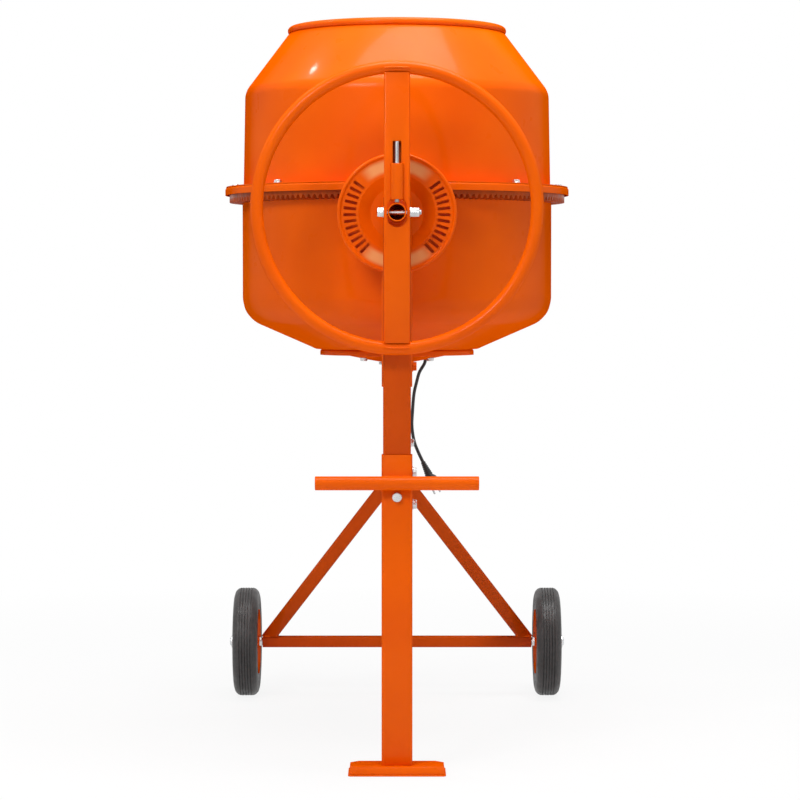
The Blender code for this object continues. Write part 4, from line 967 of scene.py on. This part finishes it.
def stand():
    shape = box(LEG, FRAME_WALL, "Z", 17.3, 622, (0, 0))
    add_piece("leg_finished", shape, PAINT, "stand", ["front_leg"])
    for name, y in (("front", 0), ("rear", REAR_Y)):
        hole = prism(circle(23.3, 80), "Y", y - 60, y + 60, PIVOT_AXIS)
        shape = box(UPRIGHT, FRAME_WALL, "Z", *UPRIGHT_ENDS, (0, y))
        node = f"{name}_upright"
        # Painted shade: the uprights take the darker copy of the paint
        add_piece(node + "_finished", shape, PAINT_SHADED, "stand", [node], cuts=[hole])
    shape = box(LEG, FRAME_WALL, "Z", 478, 640, (0, REAR_Y))
    add_piece("rear_socket_finished", shape, PAINT, "stand", ["rear_leg_socket"])
    shape = tube(circle(13.5, 56), circle(11.5, 56), "X", -158.5, 158.5, HANDLE, edge=0.9)
    add_piece("handle_finished", shape, PAINT, "stand", ["handle_bar"])
    for name, level in (("top", 579.6), ("bottom", 556.4)):
        path = [Vector((x, -22.3, level)) for x in range(-27, 28, 3)]
        weld(f"handle_weld_{name}", path, 2.6, PAINT, "stand")
    side_bolts = (("leg_bolt_upper", 0, 588), ("leg_bolt_lower", 0, 525), ("rear_bolt", REAR_Y, 599))
    for name, y, level in side_bolts:
        replace(bolt_head(name + "_head", "X", LEG[0] / 2, 1, (y, level), ZINC, "stand"), name)
    head = bolt_head("beam_bolt_head", "Y", -LEG[1] / 2, -1, (0, 540), ZINC, "stand", washer=19)
    replace(head, "beam_bolt")


# Transport wheels

TYRE_GROOVES = (0.0, 6.2, 12.4)
SIDEWALL_RINGS = (103, 96, 86)
WHEEL_BOLT_CIRCLE = 38
STRUT_FOOT_Z = 139


def tread(level):
    """The crown's radius with its running grooves; level is measured from the middle of the tyre."""
    near = min(abs(abs(level) - groove) for groove in TYRE_GROOVES)
    return WHEEL_RADIUS - (2.4 if near < 0.9 else 0)


def add_ring_groove(half, ring):
    """Press a shallow groove into the sidewall at the radius of the ring."""
    place = next(i for i, (radius, level) in enumerate(half) if level > 25 and radius < ring)
    (outer, above), (inner, below) = half[place - 1], half[place]
    level = above + (ring - outer) * ((below - above) / (inner - outer))
    deep = level - 0.9
    groove = [(ring + 1.2, level), (ring + 0.5, deep), (ring - 0.5, deep), (ring - 1.2, level)]
    half[place:place] = groove


def tyre(name, side):
    half = [(tread(0.5 * step), 0.5 * step) for step in range(29)]
    shoulder = [(WHEEL_RADIUS, 14), (123, 20), (117, 26), (107, 29), (79, 26), (63, 18)]
    half += rounded(shoulder, 9, 4)[1:]
    for ring in SIDEWALL_RINGS:
        add_ring_groove(half, ring)
    profile = half + [(radius, -level) for radius, level in reversed(half)][:-1]
    middle = side * WHEEL_X
    profile = [(radius, level + middle) for radius, level in profile]
    shape = turned(profile, FINE, "X", (AXLE_Y, WHEEL_RADIUS))
    body = name + "_wheel"
    add_piece(name + "_tyre_finished", shape, TYRE, body, [name + "_tyre"], sharp=50)
    for step in range(4):
        angle = math.tau * (step + 0.62) / 4
        across = AXLE_Y + WHEEL_BOLT_CIRCLE * math.cos(angle)
        up = WHEEL_RADIUS + WHEEL_BOLT_CIRCLE * math.sin(angle)
        for way in (-1, 1):
            label = "inner" if way == -side else "outer"
            bolt = f"{body}_{label}_bolt_{step + 1}"
            seat = middle + 2.2 * way
            bolt_head(bolt, "X", seat, way, (across, up), ZINC, body, flats=13, washer=16)


def wheels():
    for name, side in (("left", -1), ("right", 1)):
        tyre(name, side)
        refine(name + "_rim", PAINT, 1.0)
    refine("axle", ZINC, 0.6)
    shape = box((25, 25), 2, "X", -313, 313, (AXLE_Y, WHEEL_RADIUS), 2.8)
    # Painted shade: the axle beam takes the darker copy of the paint
    add_piece("axle_beam_finished", shape, PAINT_SHADED, "stand", ["axle_beam"])
    for name, side in (("left", -1), ("right", 1)):
        # Painted shade: the struts take the darker copy of the paint
        refine(name + "_strut", PAINT_SHADED, 2.4)
        for face, y in (("near", AXLE_Y - 15.2), ("far", AXLE_Y + 15.2)):
            path = [Vector((side * x, y, STRUT_FOOT_Z)) for x in (276, 311)]
            weld(f"{name}_strut_weld_{face}", path, 2.2, PAINT, "stand")


# Drive, switch and what is left

COVER_CENTRE_Z = 1036.2
COVER_SCREWS = (112, 172)
GLAND_ROOT = 5.3
GLAND_RELIEF_Z = (799, 824)


def drive():
    refine("motor_housing", PAINT, 1.6)
    refine("motor_cover", PAINT, 1.6)
    refine("switch_box", BLACK, 1.8)
    refine("start_button", GREEN, 1.2)
    refine("stop_button", RED, 1.2)
    for step in range(6):
        angle = math.radians(30 + 60 * step)
        across = COVER_SCREWS[0] * math.cos(angle)
        up = COVER_CENTRE_Z + COVER_SCREWS[1] * math.sin(angle)
        screw = f"cover_screw_{step + 1}"
        bolt_head(screw, "Y", 1089.6, 1, (across, up), ZINC, "stand", flats=10, height=4, washer=14)


def relief_ribs(level):
    """Fine grooves round the gland's bend relief."""
    low, high = GLAND_RELIEF_Z
    inside = low + 1 < level < high - 1
    return -0.5 * (0.5 + 0.5 * math.cos(level * 1.6)) if inside else 0


def gland():
    """The cord's tapered relief, then a collar that goes into the switch box."""
    profile = [(0, 795.4), (GLAND_ROOT, 795.4), (GLAND_ROOT, GLAND_RELIEF_Z[0])]
    for step in range(36):
        level = 799.5 + 24 * step / 36
        profile.append((GLAND_ROOT + 2.7 * (level - GLAND_RELIEF_Z[0]) / 25, level))
    profile += [(10, 825.4), (14, 827.5), (14, 837.1), (10, 837.1), (10, 845), (0, 845)]
    shape = turned(profile, 64, "Z", (64, CORD_Y), relief_ribs)
    add_piece("gland_finished", shape, BLACK, "stand", ["cable_gland"])


def remaining():
    """Every node that has no finished piece yet keeps its own shape, with rounded edges."""
    finishes = {
        "ring_gear": (GEAR, 0.35, "gear_iron"),
        "pinion": (GEAR, 0.35, "gear_iron"),
        "pinion_shaft": (STEEL, 0.5, "machined_steel"),
        "drum_spindle": (STEEL, 0.6, "machined_steel"),
        "latch_tooth": (ZINC, 0.5, "zinc_steel"),
        "latch_spring": (STEEL, 0.0, "machined_steel"),
        "lower_bearing": (STEEL, 0.4, "machined_steel"),
        "upper_bearing": (STEEL, 0.4, "machined_steel"),
        "driven_pulley": (GEAR, 0.6, "gear_iron"),
        "motor_pulley": (STEEL, 0.6, "machined_steel"),
        "drive_belt": (BELT, 0.6, "belt_rubber"),
        "motor": (CASING, 1.0, "motor_casing"),
    }
    for node in BODY_OF:
        if node in REPLACED:
            continue
        material, edge, slot = finishes.get(node, (PAINT, 1.0, "orange_paint"))
        refine(node, material, edge)


def main():
    studio()
    cord_and_plug()
    lower_shell()
    upper_shell()
    drum_bottom()
    drum_bolts("hub_bolt", 6, 0.5, 80, 801.2, -1, 16)
    drum_bolts("flange_bolt", 8, 0, 338, FLANGE_TOP, 1, 17)
    blade("blade_1", 0.0)
    blade("blade_2", math.pi)
    hand_wheel()
    latch()
    index_disc()
    pivots()
    stand()
    wheels()
    drive()
    gland()
    remaining()


main()
